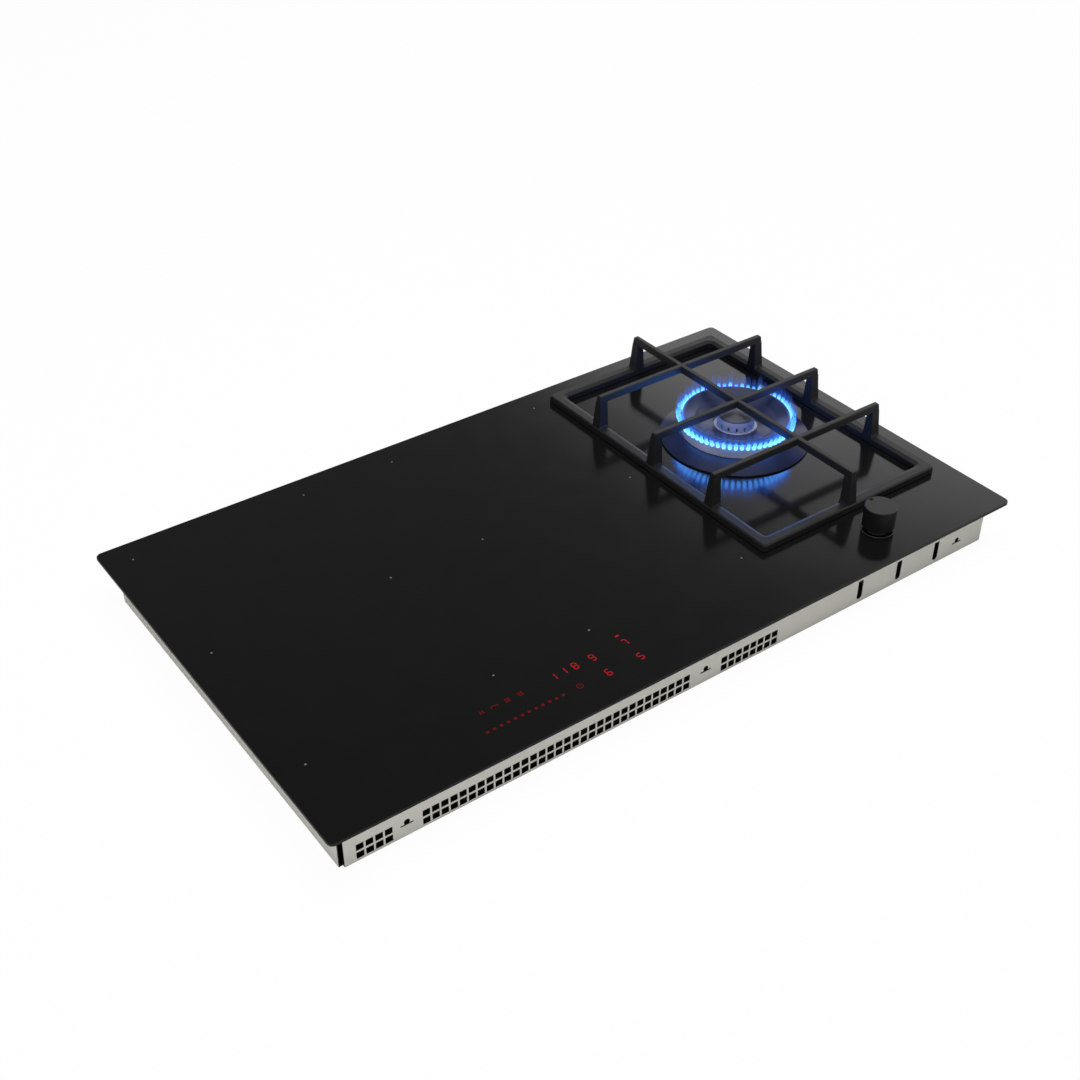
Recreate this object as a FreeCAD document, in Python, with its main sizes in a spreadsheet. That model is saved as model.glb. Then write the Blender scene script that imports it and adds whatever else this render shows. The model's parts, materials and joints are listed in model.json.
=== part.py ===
import FreeCAD
import Part
import Sketcher
import math
import os
import re

# Built-in hob: four induction zones and one two-ring gas burner under one glass plate.
# Millimetres. X runs along the front edge, Y to the rear, Z up from the casing floor.

SIZES = {
    # Glass plate
    "glass_width": 900.0,
    "glass_depth": 523.2,
    "glass_thickness": 4.0,
    "glass_corner": 7.0,
    "glass_bevel": 0.8,
    "glass_burner_hole": 78.0,
    "glass_spindle_hole": 6.0,
    # Casing tray and what closes it
    "casing_width": 868.8,
    "casing_depth": 486.0,
    "casing_shift": -1.5,
    "casing_height": 52.8,
    "sheet": 1.0,
    "flange": 10.0,
    "slit_width": 4.6,
    "slit_depth": 3.5,
    "adhesive": 0.5,
    "seal_gap": 4.6,
    "seal_width": 9.0,
    "seal_height": 2.0,
    "divider_x": 130.0,
    "divider_foot": 12.0,
    "fold_gap": 0.3,
    # Front wall cut-outs
    "vent_width": 8.2,
    "vent_height": 7.8,
    "vent_pitch": 10.25,
    "vent_row_pitch": 10.3,
    "vent_low": 3.1,
    "vent_corner_x": -417.0,
    "vent_corner_count": 4,
    "vent_main_x": -345.2,
    "vent_main_count": 32,
    "vent_right_x": 24.2,
    "vent_right_count": 8,
    "slot_x": 229.0,
    "slot_pitch": 61.3,
    "slot_count": 3,
    "slot_width": 7.8,
    "slot_low": 5.0,
    "slot_height": 25.3,
    "clip_left_x": -362.5,
    "clip_middle_x": 2.5,
    "clip_right_x": 386.9,
    "clip_brim": 14.2,
    "clip_gap": 1.8,
    "clip_low": 13.9,
    "clip_dome": 3.3,
    "clip_dome_rise": 4.2,
    "intake_ring": 20.0,
    "intake_hole": 7.0,
    "intake_count": 6,
    # Induction zones
    "left_zone_x": -313.0,
    "centre_zone_x": 18.3,
    "rear_zone_y": 132.0,
    "front_zone_y": -63.0,
    "coil_radius": 92.0,
    "coil_hole": 22.0,
    "coil_height": 6.0,
    "coil_gap": 0.5,
    "coil_edge": 1.5,
    "carrier_rim": 2.0,
    "carrier_height": 2.0,
    "ferrite_length": 58.0,
    "ferrite_width": 14.0,
    "ferrite_height": 5.0,
    "ferrite_ring": 58.0,
    "ferrite_count": 8,
    "sensor_radius": 9.0,
    "plate_width": 214.0,
    "plate_depth": 400.0,
    "plate_thickness": 1.5,
    "pillar_inset": 9.0,
    "pillar_radius": 4.0,
    "screw_head": 3.5,
    "screw_height": 2.0,
    # Power boards, heat sinks and blowers
    "board_width": 184.0,
    "board_depth": 236.0,
    "board_thickness": 1.6,
    "board_y": -30.0,
    "standoff_height": 8.0,
    "standoff_radius": 3.5,
    "standoff_inset": 8.0,
    "sink_width": 62.0,
    "sink_depth": 150.0,
    "sink_base": 4.0,
    "sink_shift": -30.0,
    "fin_count": 10,
    "fin_thickness": 1.6,
    "fin_height": 18.0,
    "capacitor_radius": 11.0,
    "capacitor_height": 24.0,
    "capacitor_shift": 50.0,
    "capacitor_pitch": 40.0,
    "blower_side": 96.0,
    "blower_height": 30.0,
    "blower_wall": 1.5,
    "blower_y": 160.0,
    "blower_eye": 30.0,
    "blower_boss": 8.0,
    "blower_boss_height": 3.0,
    "rotor_radius": 41.0,
    "rotor_gap": 2.0,
    "rotor_plate": 1.5,
    "rotor_hub": 12.0,
    "rotor_shaft": 2.0,
    "rotor_end_gap": 0.5,
    "blade_count": 24,
    "blade_depth": 10.0,
    "blade_thickness": 1.2,
    "running_fit": 0.05,
    # Mains input and touch controls
    "filter_x": -147.0,
    "filter_y": 10.0,
    "filter_width": 84.0,
    "filter_depth": 150.0,
    "choke_ring": 17.0,
    "choke_radius": 7.0,
    "terminal_width": 62.0,
    "terminal_depth": 34.0,
    "terminal_height": 24.0,
    "terminal_y": 155.0,
    "terminal_hole": 4.0,
    "cable_z": 26.0,
    "cable_bore": 7.0,
    "grommet_wall": 3.0,
    "grommet_lip": 3.0,
    "grommet_lip_depth": 2.0,
    "touch_x": -161.0,
    "touch_y": -206.0,
    "touch_width": 216.0,
    "touch_depth": 58.0,
    "touch_carrier_height": 4.0,
    "touch_post_spread": 160.0,
    "touch_post": 5.0,
    "display_height": 1.8,
    # Gas burner, heights counted from the glass surface
    "burner_x": 285.2,
    "burner_y": 31.0,
    "base_radius": 92.0,
    "base_rim": 1.4,
    "base_seat": 70.0,
    "base_top": 11.0,
    "base_wall": 3.0,
    "neck_radius": 58.0,
    "neck_drop": 10.0,
    "gasket_width": 10.0,
    "gasket_inset": 2.0,
    "gasket_height": 0.8,
    "crown_radius": 67.6,
    "crown_top_radius": 66.2,
    "crown_wall": 4.6,
    "crown_top": 28.5,
    "crown_floor": 2.0,
    "crown_foot_height": 1.0,
    "crown_inner_top": 16.4,
    "crown_inner_wall": 31.0,
    "crown_inner_hole": 22.0,
    "port_count": 60,
    "port_width": 3.2,
    "port_height": 4.5,
    "port_overcut": 1.0,
    "cap_radius": 65.3,
    "cap_top": 33.0,
    "cap_hole": 27.0,
    "cap_thickness": 2.2,
    "cap_edge": 1.0,
    "cap_lip": 3.0,
    "cap_land": 7.36,
    "cap_dip_share": 0.36,
    "cap_dip_run": 4.0,
    "cap_dip_rise": 1.0,
    "venturi_radius": 9.0,
    "venturi_wall": 2.0,
    "venturi_drop": 14.0,
    "inner_throat": 8.0,
    "inner_stem": 10.0,
    "inner_foot": 26.0,
    "inner_foot_height": 1.2,
    "inner_radius": 22.8,
    "inner_wall": 4.5,
    "inner_top": 31.0,
    "inner_port_count": 14,
    "inner_port_width": 2.2,
    "inner_port_low": 19.0,
    "inner_port_height": 5.5,
    "inner_cap_radius": 22.6,
    "inner_cap_rim": 2.2,
    "inner_cap_edge": 1.0,
    "inner_cap_edge_rise": 0.8,
    "inner_cap_crown": 1.8,
    "inner_cap_spigot": 2.5,
    "seat_fit": 0.6,
    "outer_jet_x": 22.0,
    "outer_jet_y": -38.0,
    "cup_radius": 79.0,
    "cup_wall": 2.0,
    "cup_floor": 16.0,
    "cup_floor_thickness": 3.0,
    "cup_flange": 11.0,
    "cup_flange_height": 2.5,
    "cup_boss": 4.0,
    "cup_boss_count": 3,
    "cup_boss_start": 90.0,
    "jet_radius": 5.0,
    "jet_head": 7.0,
    "jet_head_height": 4.0,
    "jet_nose": 3.0,
    "jet_nose_height": 7.0,
    "probe_ring": 73.0,
    "spark_angle": 40.0,
    "spark_radius": 2.6,
    "spark_height": 20.0,
    "thermo_angle": 62.0,
    "thermo_radius": 2.0,
    "thermo_height": 22.0,
    "probe_fit": 0.3,
    # Gas supply and valve
    "gas_x": 415.0,
    "gas_z": 26.0,
    "gas_thread": 10.48,
    "gas_thread_length": 16.0,
    "gas_relief": 9.6,
    "gas_relief_length": 1.5,
    "gas_neck": 11.5,
    "gas_neck_fit": 0.3,
    "gas_collar": 15.0,
    "gas_collar_depth": 2.0,
    "gas_body": 12.5,
    "gas_body_length": 16.0,
    "gas_bore": 4.5,
    "manifold_radius": 6.0,
    "manifold_bore": 4.5,
    "manifold_bend": 25.0,
    "jet_pipe_radius": 4.0,
    "jet_pipe_bore": 3.0,
    "jet_pipe_z": 8.0,
    "jet_pipe_bend": 7.0,
    "knob_y": -209.6,
    "bracket_thickness": 3.0,
    "bracket_width": 58.0,
    "bracket_depth": 62.0,
    "valve_width": 60.0,
    "valve_depth": 34.0,
    "valve_height": 30.0,
    "plug_low": 3.0,
    "plug_height": 23.0,
    "plug_foot": 7.0,
    "plug_head": 9.0,
    "plug_end_gap": 0.3,
    "tongue_width": 7.4,
    "tongue_thickness": 3.0,
    "tongue_drop": 12.0,
    "tongue_room": 4.0,
    "bonnet_width": 44.0,
    "bonnet_plate": 2.0,
    "bonnet_radius": 9.0,
    "bonnet_bore": 7.0,
    "bonnet_height": 14.0,
    "bonnet_top": 2.0,
    "spindle_radius": 4.0,
    "spindle_collar": 6.5,
    "spindle_collar_height": 1.9,
    "spindle_collar_gap": 0.1,
    "spindle_top": 23.6,
    "spring_bore": 4.5,
    "spring_radius": 6.2,
    "spring_gap": 0.2,
    "magnet_radius": 7.0,
    "magnet_length": 28.0,
    "magnet_z": 9.5,
    "switch_width": 14.0,
    "switch_depth": 20.0,
    "switch_height": 16.0,
    "module_reach": 25.0,
    "module_y": 170.0,
    "module_width": 44.0,
    "module_depth": 34.0,
    "module_height": 24.0,
    "lead_radius": 1.2,
    "spark_lead_z": 5.0,
    "thermo_lead_x": 378.0,
    "lead_bend": 12.0,
    "lead_turn": 3.5,
    # Knob, heights counted from the glass surface
    "knob_radius": 18.4,
    "knob_lift": 5.6,
    "knob_height": 26.0,
    "knob_wall": 2.4,
    "knob_top_wall": 3.0,
    "knob_edge": 0.6,
    "knob_hub": 7.5,
    "knob_hub_lift": 1.0,
    "knob_bore_depth": 20.0,
    "mark_width": 1.6,
    "mark_length": 4.0,
    "mark_depth": 0.4,
    "mark_inset": 1.8,
    "knob_gasket_radius": 13.0,
    "knob_gasket_height": 0.8,
    # Pan support, heights counted from the glass surface
    "support_width": 273.0,
    "support_depth": 401.0,
    "frame_lift": 1.0,
    "frame_height": 9.0,
    "frame_width": 15.0,
    "frame_corner": 4.0,
    "frame_inner_corner": 5.0,
    "frame_bevel": 1.6,
    "frame_slope_width": 5.0,
    "frame_slope_drop": 2.2,
    "bar_top": 52.2,
    "bar_height": 8.6,
    "bar_width": 8.0,
    "bar_top_width": 6.6,
    "bar_inset": 3.8,
    "bar_end_slope": 1.0,
    "bar_bevel": 0.9,
    "bar_bevel_width": 0.8,
    "bar_pitch": 104.3,
    "bar_count": 3,
    "leg_top_length": 11.0,
    "leg_top_width": 8.6,
    "leg_foot_length": 13.6,
    "leg_foot_width": 13.0,
    "leg_outset": 2.4,
    "root_height": 4.0,
    "root_width": 17.0,
    "foot_radius": 5.0,
}

DERIVED = {
    "glass_under": "casing_height + adhesive",
    "glass_face": "glass_under + glass_thickness",
    "casing_front": "casing_shift - casing_depth / 2",
    "casing_rear": "casing_shift + casing_depth / 2",
    "inner_front": "casing_front + sheet",
    "inner_rear": "casing_rear - sheet",
    "seal_reach": "seal_gap + seal_width",
    "coil_low": "glass_under - coil_gap - coil_height",
    "carrier_low": "coil_low - carrier_height",
    "ferrite_low": "carrier_low - ferrite_height",
    "plate_low": "ferrite_low - plate_thickness",
    "plate_y": "(rear_zone_y + front_zone_y) / 2",
    "board_low": "sheet + standoff_height",
    "board_top": "board_low + board_thickness",
    "blower_top": "sheet + blower_height",
    "rotor_top": "blower_top - blower_boss_height - rotor_end_gap",
    "touch_low": "glass_under - display_height - board_thickness",
    "neck_outer": "neck_radius + base_wall",
    "cup_seat": "glass_face - neck_drop",
    "boss_ring": "neck_radius + base_wall / 2",
    "spark_x": "burner_x + probe_ring * cos(spark_angle)",
    "spark_y": "burner_y + probe_ring * sin(spark_angle)",
    "module_x": "spark_x + module_reach",
    "thermo_x": "burner_x + probe_ring * cos(thermo_angle)",
    "thermo_y": "burner_y + probe_ring * sin(thermo_angle)",
    "valve_low": "sheet + bracket_thickness",
    "valve_top": "valve_low + valve_height",
    "plug_z": "valve_low + plug_low",
    "plug_top": "plug_z + plug_height",
    "bonnet_z": "valve_top + bonnet_height",
    "collar_z": "bonnet_z - bonnet_top - spindle_collar_gap - spindle_collar_height",
    "knob_z": "glass_face + knob_lift",
    "bar_low": "bar_top - bar_height",
    "frame_top": "frame_lift + frame_height",
    "root_low": "frame_top - frame_slope_drop",
}

WORD = re.compile(r"[a-z][a-z_]*")
TINY = 1e-6
ZONES = {"left": "left_zone_x", "centre": "centre_zone_x"}
ROWS = {"rear": "rear_zone_y", "front": "front_zone_y"}
TO_REAR = (FreeCAD.Vector(1, 0, 0), -90)

# Lit windows under the glass: x and y from the touch board's centre, width and depth
WINDOWS = {
    "clock": (26.0, 8.0, 66.0, 16.0),
    "right": (94.0, 8.0, 22.0, 16.0),
    "lower": (71.0, -20.0, 64.0, 12.0),
    "slider": (-52.0, -18.7, 96.0, 8.0),
    "icons": (-63.0, 7.3, 58.0, 12.0),
}

DOC = FreeCAD.newDocument("Hob")
SHEET = DOC.addObject("Spreadsheet::Sheet", "Dims")
for row, (alias, size) in enumerate(SIZES.items(), start=1):
    SHEET.set(f"A{row}", alias)
    SHEET.set(f"B{row}", str(size))
    SHEET.setAlias(f"B{row}", alias)
DOC.recompute()

PARTS = []


def bound(text):
    """Write a size expression so that it reads the sheet's cells."""
    def cell(match):
        word = match.group(0)
        if word in DERIVED:
            return "(" + bound(DERIVED[word]) + ")"
        return "Dims." + word if word in SIZES else word
    return WORD.sub(cell, str(text))


def bind(thing, sizes):
    """Tie properties of an object to size expressions."""
    for name, text in sizes.items():
        thing.setExpression(name, bound(text))


def place(thing, x="0", y="0", z="0"):
    """Tie an object's position to size expressions."""
    bind(thing, {"Placement.Base.x": x, "Placement.Base.y": y, "Placement.Base.z": z})


def angles(count, start=0.0):
    """Evenly spaced angles round a circle, in degrees, for a named count."""
    number = int(SIZES[count])
    return [start + 360.0 / number * i for i in range(number)]


def keep(thing, label):
    """Name a finished piece and put it on the list of pieces."""
    thing.Label = label
    PARTS.append(thing)
    return thing


# Part primitives and booleans

def box(x, y, z, length, width, height):
    """Block centred on x and y, standing on z."""
    block = DOC.addObject("Part::Box", "Block")
    bind(block, {"Length": length, "Width": width, "Height": height})
    place(block, f"{x} - ({length}) / 2", f"{y} - ({width}) / 2", z)
    return block


def cylinder(x, y, z, radius, height):
    """Upright cylinder standing on z."""
    rod = DOC.addObject("Part::Cylinder", "Rod")
    bind(rod, {"Radius": radius, "Height": height})
    place(rod, x, y, z)
    return rod


def cone(x, y, z, low_radius, high_radius, height):
    """Upright cone standing on z."""
    taper = DOC.addObject("Part::Cone", "Taper")
    bind(taper, {"Radius1": low_radius, "Radius2": high_radius, "Height": height})
    place(taper, x, y, z)
    return taper


def frustum(x, y, z, low, high, height):
    """Tapered block: low and high are (x from, x to, y from, y to) about x, y."""
    block = DOC.addObject("Part::Wedge", "Frustum")
    bind(block, {"Ymin": "0", "Ymax": height})
    bind(block, {"Xmin": low[0], "Xmax": low[1], "Zmin": f"-({low[3]})", "Zmax": f"-({low[2]})"})
    bind(block, {"X2min": high[0], "X2max": high[1], "Z2min": f"-({high[3]})", "Z2max": f"-({high[2]})"})
    block.Placement = FreeCAD.Placement(FreeCAD.Vector(), FreeCAD.Rotation(FreeCAD.Vector(1, 0, 0), 90))
    place(block, x, y, z)
    return block


def fuse(pieces):
    """One solid from several that meet."""
    joined = DOC.addObject("Part::MultiFuse", "Joined")
    joined.Shapes = pieces
    joined.Refine = True
    return joined


def cut(base, tools):
    """A piece with other shapes taken out of it."""
    result = DOC.addObject("Part::Cut", "Cut")
    result.Base = base
    result.Tool = tools[0] if len(tools) == 1 else fuse(tools)
    return result


def group(label, pieces):
    """Several separate solids in one node."""
    together = DOC.addObject("Part::Compound", label)
    together.Links = pieces
    return keep(together, label)


def tube(x, y, z, outer, inner, height):
    """Upright tube standing on z."""
    return cut(cylinder(x, y, z, outer, height), [cylinder(x, y, z, inner, height)])


# Part design bodies

def new_body(label):
    """Empty body with its own name."""
    return DOC.addObject("PartDesign::Body", label)


def sketch_on(body, role, offset="0"):
    """Sketch on one of the body's origin planes, moved along the plane's normal."""
    sketch = body.newObject("Sketcher::SketchObject", "Sketch")
    origin_plane = next(item for item in body.Origin.OriginFeatures if item.Role == role)
    sketch.AttachmentSupport = [(origin_plane, "")]
    sketch.MapMode = "FlatFace"
    sketch.setExpression("AttachmentOffset.Base.z", bound(offset))
    return sketch


def fix_point(sketch, geometry, point, x, y):
    """Tie a sketch point to x and y expressions from the sketch origin."""
    for kind, text in (("DistanceX", x), ("DistanceY", y)):
        index = sketch.addConstraint(Sketcher.Constraint(kind, -1, 1, geometry, point, 1.0))
        sketch.setExpression(f"Constraints[{index}]", bound(text))


def polygon(sketch, corners):
    """Closed outline through corners given as expressions."""
    first = sketch.GeometryCount
    count = len(corners)
    turn = 2 * math.pi / count
    start = [FreeCAD.Vector(math.cos(turn * i), math.sin(turn * i), 0) for i in range(count)]
    sketch.addGeometry([Part.LineSegment(start[i], start[(i + 1) % count]) for i in range(count)])
    links = [(first + i, first + (i + 1) % count) for i in range(count)]
    sketch.addConstraint([Sketcher.Constraint("Coincident", a, 2, b, 1) for a, b in links])
    for i, (x, y) in enumerate(corners):
        fix_point(sketch, first + i, 1, x, y)
    return sketch


def rectangle(sketch, left, low, right, high):
    """Rectangle between two corners."""
    return polygon(sketch, [(left, low), (right, low), (right, high), (left, high)])


def circle(sketch, x, y, radius):
    """Circle about a point."""
    index = sketch.addGeometry(Part.Circle(FreeCAD.Vector(), FreeCAD.Vector(0, 0, 1), 1.0))
    fix_point(sketch, index, 3, x, y)
    size = sketch.addConstraint(Sketcher.Constraint("Radius", index, 1.0))
    sketch.setExpression(f"Constraints[{size}]", bound(radius))
    return sketch


def extrude(body, kind, sketch, length, backwards=False):
    """Pad or pocket of a sketch."""
    feature = body.newObject("PartDesign::" + kind, kind)
    feature.Profile = sketch
    feature.Reversed = backwards
    feature.setExpression("Length", bound(length))
    return feature


def pad(body, sketch, length, backwards=False):
    """Material raised from a sketch."""
    return extrude(body, "Pad", sketch, length, backwards)


def pocket(body, sketch, length, backwards=False):
    """Material sunk away under a sketch."""
    return extrude(body, "Pocket", sketch, length, backwards)


def revolve(label, profile, x="0", y="0", z="0", turn=None):
    """Body of revolution from (radius, height) corners; turn lays its axis over."""
    body = new_body(label)
    sketch = polygon(sketch_on(body, "XZ_Plane"), profile)
    feature = body.newObject("PartDesign::Revolution", "Revolution")
    feature.Profile = sketch
    feature.ReferenceAxis = (sketch, ["V_Axis"])
    if turn:
        body.Placement = FreeCAD.Placement(FreeCAD.Vector(), FreeCAD.Rotation(*turn))
    place(body, x, y, z)
    return body


def polar(body, features, count):
    """Repeat features round the body's Z axis."""
    pattern = body.newObject("PartDesign::PolarPattern", "Ring")
    pattern.Originals = features
    axis = next(item for item in body.Origin.OriginFeatures if item.Role == "Z_Axis")
    pattern.Axis = (axis, [""])
    pattern.Angle = 360
    bind(pattern, {"Occurrences": count})
    body.Tip = pattern
    return pattern


def row_of(body, features, sketch, pitch, count):
    """Repeat features along the sketch's horizontal axis."""
    pattern = body.newObject("PartDesign::LinearPattern", "Row")
    pattern.Originals = features
    pattern.Direction = (sketch, ["H_Axis"])
    bind(pattern, {"Length": f"{pitch} * ({count} - 1)", "Occurrences": count})
    body.Tip = pattern
    return pattern


def named_edges(shape, test):
    """Names of the edges that pass a test."""
    return [f"Edge{i}" for i, edge in enumerate(shape.Edges, start=1) if test(edge)]


def is_upright(edge):
    """True for an edge that runs straight up."""
    room = edge.BoundBox
    return room.XLength + room.YLength < TINY


def is_at_top(edge, height):
    """True for an edge that lies at a height."""
    return abs(edge.BoundBox.ZMin - height) + edge.BoundBox.ZLength < TINY


def round_edges(body, names, radius):
    """Round named edges of the body's tip."""
    feature = body.newObject("PartDesign::Fillet", "Round")
    feature.Base = (feature.BaseFeature, names)
    bind(feature, {"Radius": radius})
    return feature


def bevel_edges(body, names, size, other_size=None):
    """Bevel named edges of the body's tip, unevenly where a second size is given."""
    feature = body.newObject("PartDesign::Chamfer", "Bevel")
    feature.Base = (feature.BaseFeature, names)
    bind(feature, {"Size": size})
    if other_size:
        feature.ChamferType = "Two distances"
        bind(feature, {"Size2": other_size})
    return feature


# Swept tubes: straight runs joined by tangent arcs

def size_of(text):
    """Number that a size expression stands for."""
    probe = DOC.addObject("Part::Vertex", "Probe")
    bind(probe, {"X": text})
    probe.recompute()
    number = float(probe.X)
    DOC.removeObject(probe.Name)
    return number


def rounded_path(points, bends):
    """Wire through points, with an arc of the given radius at each inner point."""
    edges = []
    start = points[0]
    for here, after, bend in zip(points[1:-1], points[2:], bends):
        inward = (here - start).normalize()
        onward = (after - here).normalize()
        half = inward.getAngle(onward) / 2
        reach = bend * math.tan(half)
        arc_start = here - inward * reach
        arc_end = here + onward * reach
        inner = (onward - inward).normalize()
        middle = here + inner * (bend / math.cos(half) - bend)
        edges.append(Part.makeLine(start, arc_start))
        edges.append(Part.Arc(arc_start, middle, arc_end).toShape())
        start = arc_end
    edges.append(Part.makeLine(start, points[-1]))
    return Part.Wire(edges)


def sweep(points, bends, radius):
    """Round bar along a path."""
    path = rounded_path(points, bends)
    ring = Part.Wire([Part.makeCircle(radius, points[0], points[1] - points[0])])
    return path.makePipeShell([ring], True, False)


def bent_tube(label, corners, bends, radius, bore=None):
    """Bent pipe, or a solid lead where no bore is given."""
    points = [FreeCAD.Vector(*(size_of(text) for text in corner)) for corner in corners]
    bend_sizes = [size_of(text) for text in bends]
    shape = sweep(points, bend_sizes, size_of(radius))
    if bore:
        shape = shape.cut(sweep(points, bend_sizes, size_of(bore)))
    piece = DOC.addObject("Part::Feature", label)
    piece.Shape = shape
    return piece


# Enclosure

def glass_top():
    """Glass plate with round corners, a ground top edge and two holes."""
    body = new_body("glass_top")
    outline = rectangle(sketch_on(body, "XY_Plane"), "-glass_width / 2", "-glass_depth / 2",
                        "glass_width / 2", "glass_depth / 2")
    plate = pad(body, outline, "glass_thickness")
    DOC.recompute()
    corners = round_edges(body, named_edges(plate.Shape, is_upright), "glass_corner")
    DOC.recompute()
    top = named_edges(corners.Shape, lambda edge: is_at_top(edge, size_of("glass_thickness")))
    bevel_edges(body, top, "glass_bevel")
    holes = sketch_on(body, "XY_Plane")
    circle(holes, "burner_x", "burner_y", "glass_burner_hole")
    circle(holes, "burner_x", "knob_y", "glass_spindle_hole")
    pocket(body, holes, "glass_thickness * 2", backwards=True)
    place(body, z="glass_under")
    keep(body, "glass_top")


def casing_vents(body):
    """Square vent grids in two rows, in three groups along the front wall."""
    for name in ("corner", "main", "right"):
        left = f"vent_{name}_x"
        grid = sketch_on(body, "XZ_Plane", "sheet - casing_front")
        for low in ("vent_low", "vent_low + vent_row_pitch"):
            rectangle(grid, left, low, f"{left} + vent_width", f"{low} + vent_height")
        holes = pocket(body, grid, "sheet * 3")
        row_of(body, [holes], grid, "vent_pitch", f"vent_{name}_count")


def casing_slots(body):
    """Upright slots with round lower ends."""
    middle = "slot_low + slot_width / 2"
    ends = sketch_on(body, "XZ_Plane", "sheet - casing_front")
    circle(ends, "slot_x", middle, "slot_width / 2")
    round_end = pocket(body, ends, "sheet * 3")
    shaft = sketch_on(body, "XZ_Plane", "sheet - casing_front")
    rectangle(shaft, "slot_x - slot_width / 2", middle, "slot_x + slot_width / 2", "slot_low + slot_height")
    straight = pocket(body, shaft, "sheet * 3")
    row_of(body, [round_end, straight], shaft, "slot_pitch", "slot_count")


def casing_clips(body):
    """Hat-shaped cut-outs that worktop clips hook into."""
    brims = sketch_on(body, "XZ_Plane", "sheet - casing_front")
    domes = sketch_on(body, "XZ_Plane", "sheet - casing_front")
    for name in ("left", "middle", "right"):
        x = f"clip_{name}_x"
        rectangle(brims, f"{x} - clip_brim / 2", "clip_low", f"{x} + clip_brim / 2", "clip_low + clip_gap")
        circle(domes, x, "clip_low + clip_dome_rise", "clip_dome")
    pocket(body, brims, "sheet * 3")
    pocket(body, domes, "sheet * 3")


def casing_intakes(body):
    """Rings of air holes in the floor under each blower."""
    holes = sketch_on(body, "XY_Plane")
    for zone in ZONES.values():
        for angle in angles("intake_count"):
            circle(holes, f"{zone} + intake_ring * cos({angle})", f"blower_y + intake_ring * sin({angle})",
                   "intake_hole")
    pocket(body, holes, "sheet * 2", backwards=True)


def casing_inlets(body):
    """Gas and mains openings in the rear wall."""
    holes = sketch_on(body, "XZ_Plane", "-casing_rear - sheet")
    circle(holes, "gas_x", "gas_z", "gas_neck + gas_neck_fit")
    circle(holes, "filter_x", "cable_z", "cable_bore + grommet_wall")
    pocket(body, holes, "sheet * 3", backwards=True)


def casing_tray():
    """Folded tray with an inward flange, open corners and its cut-outs."""
    body = new_body("casing_tray")
    outline = rectangle(sketch_on(body, "XY_Plane"), "-casing_width / 2", "casing_front",
                        "casing_width / 2", "casing_rear")
    pad(body, outline, "casing_height")
    mouth = rectangle(sketch_on(body, "XY_Plane", "casing_height"), "flange - casing_width / 2",
                      "casing_front + flange", "casing_width / 2 - flange", "casing_rear - flange")
    pocket(body, mouth, "casing_height - sheet")
    hollow = rectangle(sketch_on(body, "XY_Plane", "casing_height - sheet"), "sheet - casing_width / 2",
                       "inner_front", "casing_width / 2 - sheet", "inner_rear")
    pocket(body, hollow, "casing_height - sheet * 2")
    slits = sketch_on(body, "XY_Plane")
    for side in ("-1", "1"):
        edge = f"{side} * casing_width / 2"
        inner = f"{side} * (casing_width / 2 - slit_width)"
        rectangle(slits, edge, "casing_front", inner, "casing_front + slit_depth")
        rectangle(slits, edge, "casing_rear - slit_depth", inner, "casing_rear")
    pocket(body, slits, "casing_height * 2", backwards=True)
    casing_vents(body)
    casing_slots(body)
    casing_clips(body)
    casing_intakes(body)
    casing_inlets(body)
    keep(body, "casing_tray")


def ring_of(label, half_width, front, rear, width, height, z):
    """Flat rectangular frame."""
    body = new_body(label)
    outline = sketch_on(body, "XY_Plane")
    rectangle(outline, f"-({half_width})", front, half_width, rear)
    rectangle(outline, f"{width} - ({half_width})", f"{front} + {width}", f"{half_width} - {width}",
              f"{rear} - {width}")
    pad(body, outline, height)
    place(body, z=z)
    return body


def enclosure_trim():
    """Bead under the glass, seal against the worktop and the wall between gas and electrics."""
    bead = ring_of("glass_adhesive", "casing_width / 2 - slit_width", "casing_front + slit_depth",
                   "casing_rear - slit_depth", "flange - slit_width", "adhesive", "casing_height")
    keep(bead, "glass_adhesive")
    strip = ring_of("worktop_seal", "casing_width / 2 + seal_reach", "casing_front - seal_reach",
                    "casing_rear + seal_reach", "seal_width", "seal_height", "glass_under - seal_height")
    keep(strip, "worktop_seal")
    depth = "casing_depth - sheet * 2 - fold_gap * 2"
    wall = box("divider_x", "casing_shift", "sheet", "sheet", depth, "casing_height - sheet * 2 - fold_gap")
    foot = box("divider_x + divider_foot / 2", "casing_shift", "sheet", "divider_foot", depth, "sheet")
    keep(fuse([wall, foot]), "compartment_divider")


# Induction side

def induction_coils():
    """Four flat wound coils."""
    for column, x in ZONES.items():
        for row_name, y in ROWS.items():
            label = f"induction_coil_{column}_{row_name}"
            profile = [("coil_hole", "0"), ("coil_radius", "0"), ("coil_radius", "coil_height - coil_edge"),
                       ("coil_radius - coil_edge", "coil_height"), ("coil_hole + coil_edge", "coil_height"),
                       ("coil_hole", "coil_height - coil_edge")]
            keep(revolve(label, profile, x, y, "coil_low"), label)


def coil_supports():
    """Carrier, ferrites and heat sensor of each coil."""
    carriers, ferrites, sensors = [], [], []
    for x in ZONES.values():
        for y in ROWS.values():
            carriers.append(cylinder(x, y, "carrier_low", "coil_radius + carrier_rim", "carrier_height"))
            sensors.append(cylinder(x, y, "coil_low", "sensor_radius", "glass_under - coil_low"))
            ferrites.extend(ferrite_bar(x, y, angle) for angle in angles("ferrite_count"))
    group("coil_carriers", carriers)
    group("coil_sensors", sensors)
    group("ferrite_bars", ferrites)


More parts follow.
